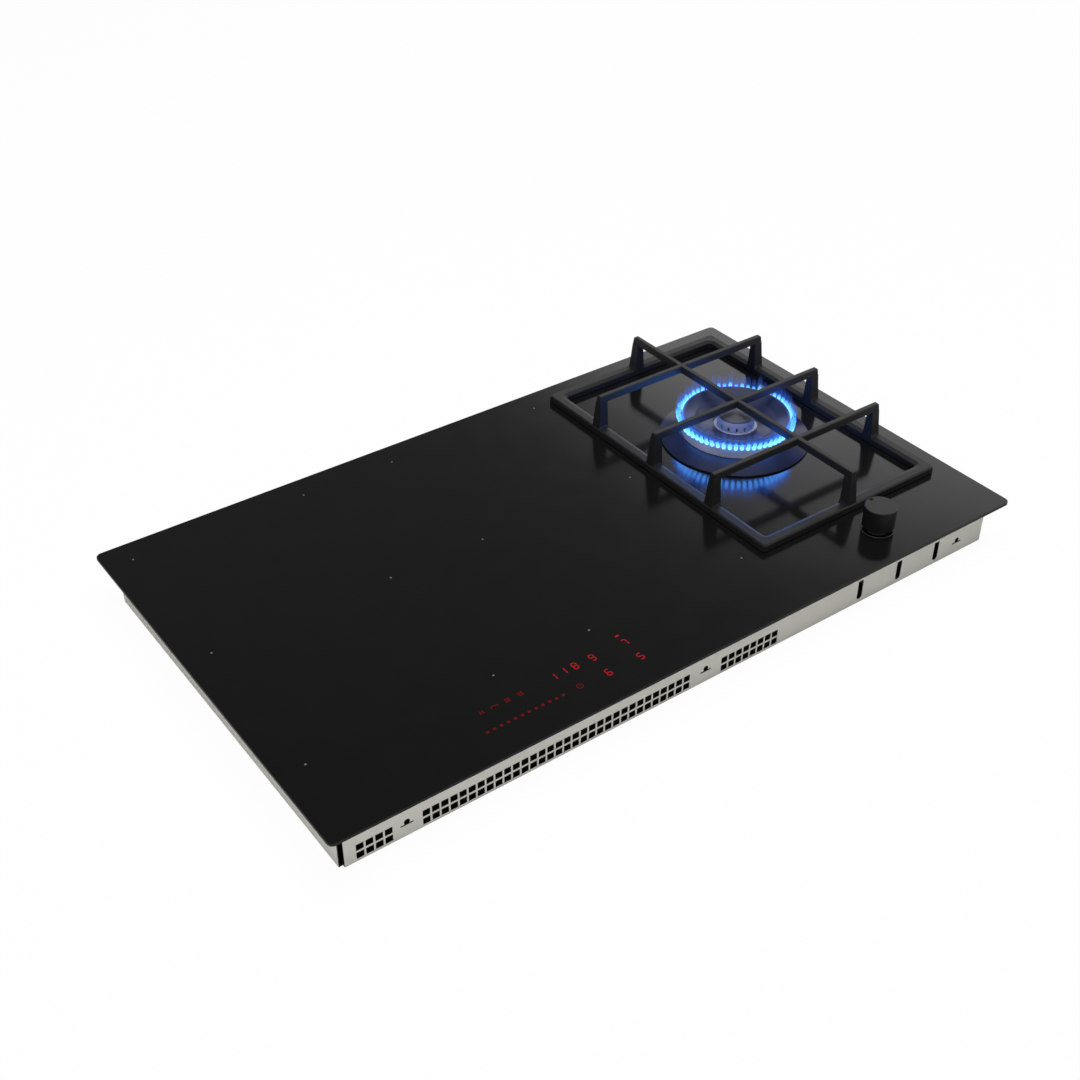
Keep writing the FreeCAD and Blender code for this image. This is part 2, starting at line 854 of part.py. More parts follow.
def ferrite_bar(x, y, angle):
    """One bar of the star of ferrites under a coil."""
    bar = DOC.addObject("Part::Box", "Ferrite")
    bind(bar, {"Length": "ferrite_length", "Width": "ferrite_width", "Height": "ferrite_height"})
    bar.Placement = FreeCAD.Placement(FreeCAD.Vector(), FreeCAD.Rotation(FreeCAD.Vector(0, 0, 1), angle))
    reach = "(ferrite_ring - ferrite_length / 2)"
    place(bar, f"{x} + {reach} * cos({angle}) + ferrite_width / 2 * sin({angle})",
          f"{y} + {reach} * sin({angle}) - ferrite_width / 2 * cos({angle})", "ferrite_low")
    return bar


def corners_of(x, y, half_x, half_y):
    """Four corner points of a rectangle about x, y."""
    return [(f"{x} + {i} * ({half_x})", f"{y} + {j} * ({half_y})") for i in (-1, 1) for j in (-1, 1)]


def coil_plates():
    """Plates that carry the coils, on pillars with screws."""
    pillars, screws = [], []
    for column, x in ZONES.items():
        plate = box(x, "plate_y", "plate_low", "plate_width", "plate_depth", "plate_thickness")
        keep(plate, f"coil_plate_{column}")
        half = ("plate_width / 2 - pillar_inset", "plate_depth / 2 - pillar_inset")
        for px, py in corners_of(x, "plate_y", *half):
            pillars.append(cylinder(px, py, "sheet", "pillar_radius", "plate_low - sheet"))
            screws.append(cylinder(px, py, "ferrite_low", "screw_head", "screw_height"))
    group("plate_pillars", pillars)
    group("screws", screws)


def heat_sink(column, x):
    """Extruded sink: a base with a row of fins."""
    label = f"heat_sink_{column}"
    body = new_body(label)
    base = rectangle(sketch_on(body, "XZ_Plane"), "-sink_width / 2", "0", "sink_width / 2", "sink_base")
    pad(body, base, "sink_depth")
    profile = rectangle(sketch_on(body, "XZ_Plane"), "-sink_width / 2", "sink_base",
                        "fin_thickness - sink_width / 2", "sink_base + fin_height")
    fin = pad(body, profile, "sink_depth")
    row_of(body, [fin], profile, "(sink_width - fin_thickness) / (fin_count - 1)", "fin_count")
    place(body, f"{x} + sink_shift", "board_y + sink_depth / 2", "board_top")
    keep(body, label)


def power_boards():
    """Boards on standoffs, with heat sinks and capacitors."""
    standoffs, capacitors = [], []
    for column, x in ZONES.items():
        board = box(x, "board_y", "board_low", "board_width", "board_depth", "board_thickness")
        keep(board, f"power_board_{column}")
        heat_sink(column, x)
        half = ("board_width / 2 - standoff_inset", "board_depth / 2 - standoff_inset")
        for px, py in corners_of(x, "board_y", *half):
            standoffs.append(cylinder(px, py, "sheet", "standoff_radius", "standoff_height"))
        for step in (-1, 0, 1):
            capacitors.append(cylinder(f"{x} + capacitor_shift", f"board_y + {step} * capacitor_pitch",
                                       "board_top", "capacitor_radius", "capacitor_height"))
    half = ("filter_width / 2 - standoff_inset", "filter_depth / 2 - standoff_inset")
    for px, py in corners_of("filter_x", "filter_y", *half):
        standoffs.append(cylinder(px, py, "sheet", "standoff_radius", "standoff_height"))
    group("board_standoffs", standoffs)
    group("capacitors", capacitors)


def blower_housing(column, x):
    """Scroll box with a floor eye, an outlet to the front and a bearing boss."""
    cavity_low = "sheet + blower_wall"
    cavity_height = "blower_height - blower_wall * 2"
    cavity = "rotor_radius + rotor_gap"
    shell = box(x, "blower_y", "sheet", "blower_side", "blower_side", "blower_height")
    hollow = cylinder(x, "blower_y", cavity_low, cavity, cavity_height)
    eye = cylinder(x, "blower_y", "sheet", "blower_eye", "blower_wall * 2")
    outlet = box(f"{x} - rotor_radius / 2", "blower_y - blower_side / 4", cavity_low, "rotor_radius",
                 "blower_side / 2 + blower_wall", cavity_height)
    boss = cylinder(x, "blower_y", "blower_top - blower_boss_height", "blower_boss", "blower_boss_height")
    bearing = cylinder(x, "blower_y", "blower_top - blower_boss_height", "rotor_shaft + running_fit",
                       "blower_boss_height")
    scroll = cut(shell, [hollow, eye, outlet])
    keep(cut(fuse([scroll, boss]), [bearing]), f"blower_housing_{column}")


def blower_rotor(column, x):
    """Centrifugal wheel: back plate, hub, shaft and a ring of blades."""
    label = f"blower_rotor_{column}"
    top = "rotor_top - sheet"
    low = "blower_wall * 2 + rotor_end_gap"
    profile = [("0", low), ("rotor_hub", low), ("rotor_hub", f"{top} - rotor_plate"),
               ("rotor_radius", f"{top} - rotor_plate"), ("rotor_radius", top), ("rotor_shaft", top),
               ("rotor_shaft", "blower_height"), ("0", "blower_height")]
    body = revolve(label, profile, x, "blower_y", "sheet")
    section = rectangle(sketch_on(body, "XY_Plane", low), "rotor_radius - blade_depth",
                        "-blade_thickness / 2", "rotor_radius - blade_thickness", "blade_thickness / 2")
    blade = pad(body, section, f"{top} - rotor_plate - ({low})")
    polar(body, [blade], "blade_count")
    keep(body, label)


def mains_input():
    """Filter board, choke, terminals and cable grommet."""
    board = box("filter_x", "filter_y", "board_low", "filter_width", "filter_depth", "board_thickness")
    keep(board, "filter_board")
    choke = DOC.addObject("Part::Torus", "Choke")
    bind(choke, {"Radius1": "choke_ring", "Radius2": "choke_radius"})
    place(choke, "filter_x", "filter_y", "board_top + choke_radius")
    keep(choke, "filter_choke")
    block = box("filter_x", "terminal_y", "sheet", "terminal_width", "terminal_depth", "terminal_height")
    wells = [cylinder(f"filter_x + {step} * terminal_width / 4", "terminal_y", "sheet + terminal_height / 2",
                      "terminal_hole", "terminal_height") for step in (-1, 0, 1)]
    keep(cut(block, wells), "terminal_block")
    rim = "cable_bore + grommet_wall"
    lip = "cable_bore + grommet_wall + grommet_lip"
    profile = [("cable_bore", "-grommet_lip_depth"), (lip, "-grommet_lip_depth"), (lip, "0"), (rim, "0"),
               (rim, "sheet"), (lip, "sheet"), (lip, "sheet + grommet_lip_depth"),
               ("cable_bore", "sheet + grommet_lip_depth")]
    keep(revolve("cable_grommet", profile, "filter_x", "inner_rear", "cable_z", TO_REAR), "cable_grommet")


def touch_controls():
    """Touch board, its carrier on posts and the lit windows."""
    board = box("touch_x", "touch_y", "touch_low", "touch_width", "touch_depth", "board_thickness")
    keep(board, "touch_board")
    tray_low = "touch_low - touch_carrier_height"
    tray = box("touch_x", "touch_y", tray_low, "touch_width", "touch_depth", "touch_carrier_height")
    posts = [cylinder(f"touch_x + {side} * touch_post_spread / 2", "touch_y", "sheet", "touch_post",
                      f"{tray_low} - sheet") for side in (-1, 1)]
    keep(fuse([tray] + posts), "touch_board_carrier")
    lamps = [box(f"touch_x + {x}", f"touch_y + {y}", "glass_under - display_height", str(width), str(depth),
                 "display_height") for x, y, width, depth in WINDOWS.values()]
    group("display_modules", lamps)


# Gas side

def burner_cup():
    """Bowl under the glass that holds the jets and the burner's screw bosses."""
    outer, inner = "cup_radius", "cup_radius - cup_wall"
    floor_top = "cup_floor + cup_floor_thickness"
    flange_low = "glass_under - cup_flange_height"
    brim = "cup_radius + cup_flange"
    profile = [("0", "cup_floor"), (outer, "cup_floor"), (outer, flange_low), (brim, flange_low),
               (brim, "glass_under"), (inner, "glass_under"), (inner, floor_top), ("0", floor_top)]
    body = revolve("burner_cup", profile, "burner_x", "burner_y")
    bosses = sketch_on(body, "XY_Plane", floor_top)
    for angle in angles("cup_boss_count", SIZES["cup_boss_start"]):
        circle(bosses, f"boss_ring * cos({angle})", f"boss_ring * sin({angle})", "cup_boss")
    pad(body, bosses, f"cup_seat - ({floor_top})")
    holes = sketch_on(body, "XY_Plane", "cup_floor")
    circle(holes, "0", "0", "jet_radius")
    circle(holes, "outer_jet_x", "outer_jet_y", "jet_radius")
    circle(holes, "spark_x - burner_x", "spark_y - burner_y", "spark_radius + probe_fit")
    circle(holes, "thermo_x - burner_x", "thermo_y - burner_y", "thermo_radius + probe_fit")
    pocket(body, holes, "cup_floor_thickness * 2", backwards=True)
    keep(body, "burner_cup")


def jets():
    """Brass jets through the cup floor."""
    floor_top = "cup_floor + cup_floor_thickness"
    pair = []
    for x, y in (("burner_x", "burner_y"), ("burner_x + outer_jet_x", "burner_y + outer_jet_y")):
        shank = cylinder(x, y, "cup_floor", "jet_radius", "cup_floor_thickness")
        head = cylinder(x, y, floor_top, "jet_head", "jet_head_height")
        nose = cone(x, y, f"{floor_top} + jet_head_height", "jet_radius", "jet_nose", "jet_nose_height")
        pair.append(fuse([shank, head, nose]))
    group("injectors", pair)


def burner_base():
    """Sloped base plate with a neck down into the cup, on its gasket."""
    low = "gasket_height"
    ring = tube("burner_x", "burner_y", "glass_face", "base_radius - gasket_inset",
                "base_radius - gasket_inset - gasket_width", low)
    keep(ring, "burner_gasket")
    inner_seat = "base_radius - gasket_inset - gasket_width"
    profile = [(inner_seat, low), ("base_radius", low), ("base_radius", f"{low} + base_rim"),
               ("base_seat", "base_top"), ("neck_radius", "base_top"), ("neck_radius", "-neck_drop"),
               ("neck_outer", "-neck_drop"), ("neck_outer", "base_top - base_wall"),
               ("base_seat - base_wall", "base_top - base_wall")]
    body = revolve("burner_base", profile, "burner_x", "burner_y", "glass_face")
    holes = sketch_on(body, "XY_Plane")
    circle(holes, "spark_x - burner_x", "spark_y - burner_y", "spark_radius + probe_fit")
    circle(holes, "thermo_x - burner_x", "thermo_y - burner_y", "thermo_radius + probe_fit")
    pocket(body, holes, "base_top * 2", backwards=True)
    keep(body, "burner_base")


def ported_ring(body, inner, outer, low, high, width, count):
    """Radial flame ports through a crown's wall."""
    slot = rectangle(sketch_on(body, "YZ_Plane", f"{inner} - port_overcut"), f"-{width} / 2", low,
                     f"{width} / 2", high)
    port = pocket(body, slot, f"{outer} - ({inner}) + port_overcut * 2", backwards=True)
    polar(body, [port], count)


def outer_crown():
    """Outer ring of flames: a trough with ports open at its top, fed by a mixing tube."""
    wall_in = "crown_top_radius - crown_wall"
    floor = "base_top + crown_floor"
    port_low = "crown_top - port_height"
    profile = [("crown_inner_hole", "base_top"), ("crown_radius", "base_top"),
               ("crown_radius", "base_top + crown_foot_height"), ("crown_top_radius", port_low),
               ("crown_top_radius", "crown_top"), (wall_in, "crown_top"), (wall_in, floor),
               ("crown_inner_wall", floor), ("crown_inner_wall", "crown_inner_top"),
               ("crown_inner_hole", "crown_inner_top")]
    body = revolve("outer_crown", profile, "burner_x", "burner_y", "glass_face")
    ported_ring(body, wall_in, "crown_radius", port_low, "crown_top + port_overcut",
                "port_width", "port_count")
    pipe = sketch_on(body, "XY_Plane", "-venturi_drop")
    circle(pipe, "outer_jet_x", "outer_jet_y", "venturi_radius + venturi_wall")
    pad(body, pipe, f"venturi_drop + {floor}")
    throat = sketch_on(body, "XY_Plane", "-venturi_drop")
    circle(throat, "outer_jet_x", "outer_jet_y", "venturi_radius")
    pocket(body, throat, f"(venturi_drop + {floor}) * 1.5", backwards=True)
    keep(body, "outer_crown")


def outer_cap():
    """Dished ring that closes the outer crown."""
    dip = "(cap_hole + cap_radius) / 2"
    dip_z = "crown_inner_top + (cap_top - crown_inner_top) * cap_dip_share"
    seat_top = "crown_inner_top + cap_thickness"
    profile = [("cap_hole", "crown_inner_top"), ("crown_inner_wall", "crown_inner_top"), (dip, dip_z),
               ("cap_radius - cap_land", "crown_top"), ("cap_radius", "crown_top"),
               ("cap_radius", "cap_top - cap_edge"), ("cap_radius - cap_edge", "cap_top"),
               ("cap_radius - cap_lip", "cap_top"),
               (f"{dip} + cap_dip_run", f"{dip_z} + cap_thickness + cap_dip_rise"),
               (dip, f"{dip_z} + cap_thickness"), ("cap_hole + cap_edge", seat_top), ("cap_hole", seat_top)]
    keep(revolve("outer_cap", profile, "burner_x", "burner_y", "glass_face"), "outer_cap")


def inner_burner():
    """Inner ring of flames: a straight crown with ports low in its wall, and its domed cap."""
    wall_in = "inner_radius - inner_wall"
    floor = "crown_inner_top + cap_thickness"
    foot_top = "crown_inner_top + inner_foot_height"
    profile = [("inner_throat", "-venturi_drop"), ("inner_stem", "-venturi_drop"),
               ("inner_stem", "crown_inner_top"), ("inner_foot", "crown_inner_top"),
               ("inner_foot", foot_top), ("inner_radius", foot_top), ("inner_radius", "inner_top"),
               (wall_in, "inner_top"), (wall_in, floor), ("inner_throat", floor)]
    crown = revolve("inner_crown", profile, "burner_x", "burner_y", "glass_face")
    ported_ring(crown, wall_in, "inner_radius", "inner_port_low", "inner_port_low + inner_port_height",
                "inner_port_width", "inner_port_count")
    keep(crown, "inner_crown")
    spigot = f"{wall_in} - seat_fit"
    spigot_low = "inner_top - inner_cap_spigot"
    rim = "inner_top + inner_cap_rim"
    profile = [("0", spigot_low), (spigot, spigot_low), (spigot, "inner_top"),
               ("inner_cap_radius", "inner_top"), ("inner_cap_radius", rim),
               ("inner_cap_radius - inner_cap_edge", f"{rim} + inner_cap_edge_rise"),
               ("0", f"{rim} + inner_cap_crown")]
    keep(revolve("inner_cap", profile, "burner_x", "burner_y", "glass_face"), "inner_cap")


def probes():
    """Spark electrode and flame sensor, each with its lead."""
    rod = cylinder("spark_x", "spark_y", "cup_floor", "spark_radius",
                   "glass_face + spark_height - cup_floor")
    low = "spark_lead_z"
    corners = [("spark_x", "spark_y", "cup_floor"), ("spark_x", "spark_y", low),
               ("module_x", "spark_y", low), ("module_x", "module_y - module_depth / 2", low)]
    lead = bent_tube("SparkLead", corners, ["lead_turn", "lead_bend"], "lead_radius")
    keep(fuse([rod, lead]), "spark_electrode")
    rod = cylinder("thermo_x", "thermo_y", "cup_floor", "thermo_radius",
                   "glass_face + thermo_height - cup_floor")
    low = "magnet_z"
    end = "burner_x + valve_width / 2 + magnet_length"
    corners = [("thermo_x", "thermo_y", "cup_floor"), ("thermo_x", "thermo_y", low),
               ("thermo_lead_x", "thermo_y", low), ("thermo_lead_x", "knob_y", low), (end, "knob_y", low)]
    lead = bent_tube("ThermoLead", corners, ["lead_turn", "lead_bend", "lead_bend"], "lead_radius")
    keep(fuse([rod, lead]), "thermocouple")
    module = box("module_x", "module_y", "sheet", "module_width", "module_depth", "module_height")
    keep(module, "ignition_module")


def gas_supply():
    """Threaded inlet through the rear wall and the pipe to the valve."""
    collar = "-gas_collar_depth"
    body_end = "-gas_collar_depth - gas_body_length"
    profile = [("gas_bore", body_end), ("gas_body", body_end), ("gas_body", collar), ("gas_collar", collar),
               ("gas_collar", "0"), ("gas_neck", "0"), ("gas_neck", "sheet"), ("gas_relief", "sheet"),
               ("gas_relief", "sheet + gas_relief_length"), ("gas_thread", "sheet + gas_relief_length"),
               ("gas_thread", "sheet + gas_thread_length"), ("gas_bore", "sheet + gas_thread_length")]
    keep(revolve("gas_inlet", profile, "gas_x", "inner_rear", "gas_z", TO_REAR), "gas_inlet")
    start = "inner_rear - gas_collar_depth - gas_body_length"
    corners = [("gas_x", start, "gas_z"), ("gas_x", "knob_y", "gas_z"),
               ("burner_x + valve_width / 2", "knob_y", "gas_z")]
    pipe = bent_tube("gas_manifold", corners, ["manifold_bend"], "manifold_radius", "manifold_bore")
    keep(pipe, "gas_manifold")
    rear = "knob_y + valve_depth / 2"
    ends = {"inner_gas_pipe": ("burner_x", "burner_y"),
            "outer_gas_pipe": ("burner_x + outer_jet_x", "burner_y + outer_jet_y")}
    for label, (x, y) in ends.items():
        corners = [(x, rear, "jet_pipe_z"), (x, y, "jet_pipe_z"), (x, y, "cup_floor")]
        keep(bent_tube(label, corners, ["jet_pipe_bend"], "jet_pipe_radius", "jet_pipe_bore"), label)


def valve():
    """Taper-plug valve with a push-and-turn spindle."""
    x, y = "burner_x", "knob_y"
    bracket = box(x, y, "sheet", "bracket_width", "bracket_depth", "bracket_thickness")
    keep(bracket, "valve_bracket")
    block = box(x, y, "valve_low", "valve_width", "valve_depth", "valve_height")
    seat = cone(x, y, "plug_z", "plug_foot + running_fit", "plug_head + running_fit", "plug_height")
    under = cylinder(x, y, "plug_z - plug_end_gap", "plug_foot + running_fit", "plug_end_gap * 2")
    above = cylinder(x, y, "plug_top", "plug_head + running_fit", "valve_top - plug_top")
    keep(cut(block, [seat, under, above]), "valve_body")
    slot = box(x, y, "plug_top - tongue_drop - tongue_room", "tongue_width + running_fit * 2",
               "tongue_thickness + running_fit * 2", "tongue_drop + tongue_room")
    keep(cut(cone(x, y, "plug_z", "plug_foot", "plug_head", "plug_height"), [slot]), "valve_plug")
    flange = box(x, y, "valve_top", "bonnet_width", "valve_depth", "bonnet_plate")
    tower = cylinder(x, y, "valve_top", "bonnet_radius", "bonnet_height")
    room = cylinder(x, y, "valve_top", "bonnet_bore", "bonnet_height - bonnet_top")
    guide = cylinder(x, y, "valve_top", "spindle_radius + running_fit", "bonnet_height")
    keep(cut(fuse([flange, tower]), [room, guide]), "valve_bonnet")
    tongue = box(x, y, "plug_top - tongue_drop", "tongue_width", "tongue_thickness",
                 "collar_z - plug_top + tongue_drop")
    collar = cylinder(x, y, "collar_z", "spindle_collar", "spindle_collar_height")
    shaft = cylinder(x, y, "collar_z", "spindle_radius", "glass_face + spindle_top - (collar_z)")
    keep(fuse([tongue, collar, shaft]), "valve_spindle")
    spring = tube(x, y, "plug_top", "spring_radius", "spring_bore", "collar_z - plug_top - spring_gap")
    keep(spring, "valve_spring")


def valve_fittings():
    """Flame-failure magnet and ignition switch on the valve's sides."""
    side = "burner_x + valve_width / 2"
    magnet = DOC.addObject("Part::Cylinder", "Magnet")
    bind(magnet, {"Radius": "magnet_radius", "Height": "magnet_length"})
    magnet.Placement = FreeCAD.Placement(FreeCAD.Vector(), FreeCAD.Rotation(FreeCAD.Vector(0, 1, 0), 90))
    place(magnet, side, "knob_y", "magnet_z")
    keep(magnet, "safety_magnet")
    switch = box("burner_x - valve_width / 2 - switch_width / 2", "knob_y", "valve_top - switch_height",
                 "switch_width", "switch_depth", "switch_height")
    keep(switch, "ignition_switch")


def knob():
    """Hollow knob with a hub on the spindle and a sunk mark, and the gasket under it."""
    bore = "spindle_radius + running_fit"
    hub_top = "knob_height - knob_top_wall"
    skirt = "knob_radius - knob_wall"
    profile = [(bore, "knob_hub_lift"), ("knob_hub", "knob_hub_lift"), ("knob_hub", hub_top),
               (skirt, hub_top), (skirt, "0"), ("knob_radius", "0"),
               ("knob_radius", "knob_height - knob_edge"), ("knob_radius - knob_edge", "knob_height"),
               ("0", "knob_height"), ("0", "knob_bore_depth"), (bore, "knob_bore_depth")]
    body = revolve("knob", profile, "burner_x", "knob_y", "knob_z")
    far = "knob_radius - mark_inset"
    mark = rectangle(sketch_on(body, "XY_Plane", "knob_height"), "-mark_width / 2", f"{far} - mark_length",
                     "mark_width / 2", far)
    pocket(body, mark, "mark_depth")
    keep(body, "knob")
    ring = tube("burner_x", "knob_y", "glass_face", "knob_gasket_radius", "spindle_radius + probe_fit",
                "knob_gasket_height")
    keep(ring, "knob_gasket")


# Pan support

def support_frame():
    """Flat ring with a bevel outside and a slope inside its top."""
    body = new_body("support_frame")
    outline = sketch_on(body, "XY_Plane")
    rectangle(outline, "-support_width / 2", "-support_depth / 2", "support_width / 2", "support_depth / 2")
    rectangle(outline, "frame_width - support_width / 2", "frame_width - support_depth / 2",
              "support_width / 2 - frame_width", "support_depth / 2 - frame_width")
    ring = pad(body, outline, "frame_height")
    DOC.recompute()
    half_width = size_of("support_width / 2 - frame_width / 2")
    half_depth = size_of("support_depth / 2 - frame_width / 2")
    height = size_of("frame_height")

    def is_inside(edge):
        """True for an edge of the ring's opening."""
        room = edge.BoundBox
        return max(-room.XMin, room.XMax) < half_width and max(-room.YMin, room.YMax) < half_depth

    names = named_edges(ring.Shape, lambda edge: is_upright(edge) and not is_inside(edge))
    outer = round_edges(body, names, "frame_corner")
    DOC.recompute()
    names = named_edges(outer.Shape, lambda edge: is_upright(edge) and is_inside(edge))
    inner = round_edges(body, names, "frame_inner_corner")
    DOC.recompute()
    names = named_edges(inner.Shape, lambda edge: is_at_top(edge, height) and not is_inside(edge))
    bevel = bevel_edges(body, names, "frame_bevel")
    DOC.recompute()
    names = named_edges(bevel.Shape, lambda edge: is_at_top(edge, height) and is_inside(edge))
    bevel_edges(body, names, "frame_slope_width", "frame_slope_drop")
    place(body, "burner_x", "burner_y", "glass_face + frame_lift")
    return body


def bar_with_legs(along_x, shift, half_length):
    """One bar on two tapered legs with spread roots, shifted across from the burner's centre."""
    x = "burner_x" if along_x else f"burner_x + {shift}"
    y = f"burner_y + {shift}" if along_x else "burner_y"

    def footprint(low, high, width):
        """Plan of a level: its ends along the bar and its width."""
        lengthwise = (low, high)
        across = (f"-{width} / 2", f"{width} / 2")
        return lengthwise + across if along_x else across + lengthwise

    def bar_level(inset, width):
        """Plan of the bar with both ends drawn in."""
        return footprint(f"{inset} - ({half_length})", f"{half_length} - ({inset})", width)

    shoulder = bar_level("bar_end_slope", "bar_top_width")
    crest = bar_level("bar_end_slope + bar_bevel_width", "(bar_top_width - bar_bevel_width * 2)")
    underside = bar_level("0", "bar_width")
    pieces = [frustum(x, y, "glass_face + bar_low", underside, shoulder, "bar_height - bar_bevel"),
              frustum(x, y, "glass_face + bar_top - bar_bevel", shoulder, crest, "bar_bevel")]
    outer = f"({half_length} + leg_outset)"
    legs = [(f"{outer} - leg_foot_length", outer, f"{half_length} - leg_top_length", half_length),
            (f"-{outer}", f"leg_foot_length - {outer}", f"-({half_length})",
             f"leg_top_length - ({half_length})")]
    for low_from, low_to, high_from, high_to in legs:
        root = footprint(low_from, low_to, "root_width")
        foot = footprint(low_from, low_to, "leg_foot_width")
        head = footprint(high_from, high_to, "leg_top_width")
        pieces.append(frustum(x, y, "glass_face + root_low", root, foot, "root_height"))
        pieces.append(frustum(x, y, "glass_face + root_low + root_height", foot, head,
                              "bar_low - root_low - root_height"))
    return pieces


def pan_support():
    """Cast frame with three bars across and one along, on four soft feet."""
    pieces = [support_frame()]
    count = int(SIZES["bar_count"])
    for i in range(count):
        shift = f"bar_pitch * {i - (count - 1) / 2}"
        pieces += bar_with_legs(True, shift, "support_width / 2 - bar_inset")
    pieces += bar_with_legs(False, "0", "support_depth / 2 - bar_inset")
    keep(fuse(pieces), "pan_support")
    half = ("support_width / 2 - frame_width / 2", "support_depth / 2 - frame_width / 2")
    feet = [cylinder(x, y, "glass_face", "foot_radius", "frame_lift")
            for x, y in corners_of("burner_x", "burner_y", *half)]
    group("pan_support_feet", feet)


def build():
    """Make every piece."""
    glass_top()
    casing_tray()
    enclosure_trim()
    induction_coils()
    coil_supports()
    coil_plates()
    power_boards()
    for column, x in ZONES.items():
        blower_housing(column, x)
        blower_rotor(column, x)
    mains_input()
    touch_controls()
    burner_cup()
    jets()
    burner_base()
    outer_crown()
    outer_cap()
    inner_burner()
    probes()
    gas_supply()
    valve()
    valve_fittings()
    knob()
    pan_support()
    DOC.recompute()


def check():
    """Stop if any object failed or any piece is empty or broken."""
    for thing in DOC.Objects:
        if "Invalid" in thing.State or "Error" in thing.State:
            raise RuntimeError(f"{thing.Label} ({thing.Name}) failed: {thing.State}")
    for piece in PARTS:
        if piece.Shape.isNull() or not piece.Shape.isValid() or not piece.Shape.Solids:
            raise RuntimeError(f"{piece.Label} has no valid shape")


def write():
    """Write one STEP file for each piece."""
    os.makedirs("parts", exist_ok=True)
    for piece in PARTS:
        piece.Shape.exportStep(f"parts/{piece.Label}.step")


build()
check()
write()
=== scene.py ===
"""Looks of a built-in hob: black glass plate, induction zones, one lit gas burner, pan support and knob."""

import json
import logging
import math
from dataclasses import dataclass
from enum import Enum

import bmesh
import bpy
from bpy.types import Material, Mesh, Node, NodeSocket, NodeTree, Object
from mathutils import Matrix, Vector


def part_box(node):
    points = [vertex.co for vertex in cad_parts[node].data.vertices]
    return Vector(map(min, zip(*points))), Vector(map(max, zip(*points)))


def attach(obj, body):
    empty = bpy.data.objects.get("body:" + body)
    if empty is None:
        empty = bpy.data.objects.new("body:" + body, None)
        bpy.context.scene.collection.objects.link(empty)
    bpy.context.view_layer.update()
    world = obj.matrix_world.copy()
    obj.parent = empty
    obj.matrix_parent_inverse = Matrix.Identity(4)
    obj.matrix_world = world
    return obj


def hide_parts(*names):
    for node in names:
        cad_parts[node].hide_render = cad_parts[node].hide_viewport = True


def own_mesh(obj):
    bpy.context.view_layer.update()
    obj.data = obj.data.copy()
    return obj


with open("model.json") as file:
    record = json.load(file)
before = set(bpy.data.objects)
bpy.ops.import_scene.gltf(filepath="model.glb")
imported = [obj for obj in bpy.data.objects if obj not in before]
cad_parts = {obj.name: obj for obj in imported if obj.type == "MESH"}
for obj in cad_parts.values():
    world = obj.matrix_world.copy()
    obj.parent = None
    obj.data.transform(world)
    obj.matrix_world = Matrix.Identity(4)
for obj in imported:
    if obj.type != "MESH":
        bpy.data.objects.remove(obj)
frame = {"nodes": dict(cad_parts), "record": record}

LOG = logging.getLogger("hob")
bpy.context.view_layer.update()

Colour = tuple[float, float, float]
Point = tuple[float, float, float]
Flat = tuple[float, float]

MM = 0.001
GLASS_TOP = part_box("glass_top")[1].z
CROWN_LOW, CROWN_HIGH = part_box("outer_crown")
BURNER_X = (CROWN_LOW.x + CROWN_HIGH.x) / 2
BURNER_Y = (CROWN_LOW.y + CROWN_HIGH.y) / 2


class Weave(Enum):
    """How the fine marks of a finish run over its surface."""

    GRAIN = "even grain"
    ALONG_X = "drawn along the front"
    ALONG_Y = "drawn front to rear"
    UPRIGHT = "drawn up and down"


DRAWN_OUT = 0.03
STRETCH: dict[Weave, Point] = {
    Weave.GRAIN: (1.0, 1.0, 1.0),
    Weave.ALONG_X: (DRAWN_OUT, 1.0, 1.0),
    Weave.ALONG_Y: (1.0, DRAWN_OUT, 1.0),
    Weave.UPRIGHT: (1.0, 1.0, DRAWN_OUT),
}


# Shader helpers

def socket(group: NodeTree, name: str, way: str, kind: str, value: object = None) -> None:
    """Add a named socket to a node group.

    Args:
        group: the node group.
        name: the socket's name.
        way: INPUT or OUTPUT.
        kind: the socket's type.
        value: its starting value, if it has one.
    """
    made = group.interface.new_socket(name=name, in_out=way, socket_type=kind)
    if value is not None:
        made.default_value = value


def math_node(tree: NodeTree, work: str, first: NodeSocket | float, second: NodeSocket | float) -> NodeSocket:
    """Add a Math node whose inputs are links or plain numbers.

    Args:
        tree: the tree to add to.
        work: the operation.
        first: the first input.
        second: the second input.

    Returns:
        The node's output.
    """
    node = tree.nodes.new("ShaderNodeMath")
    node.operation = work
    for place, value in zip(node.inputs, (first, second)):
        if isinstance(value, NodeSocket):
            tree.links.new(value, place)
        else:
            place.default_value = value
    return node.outputs[0]


FINE_DETAIL, FINE_ROUGHNESS = 3.0, 0.6
BROAD_DETAIL, BROAD_SHARE = 2.0, 0.012


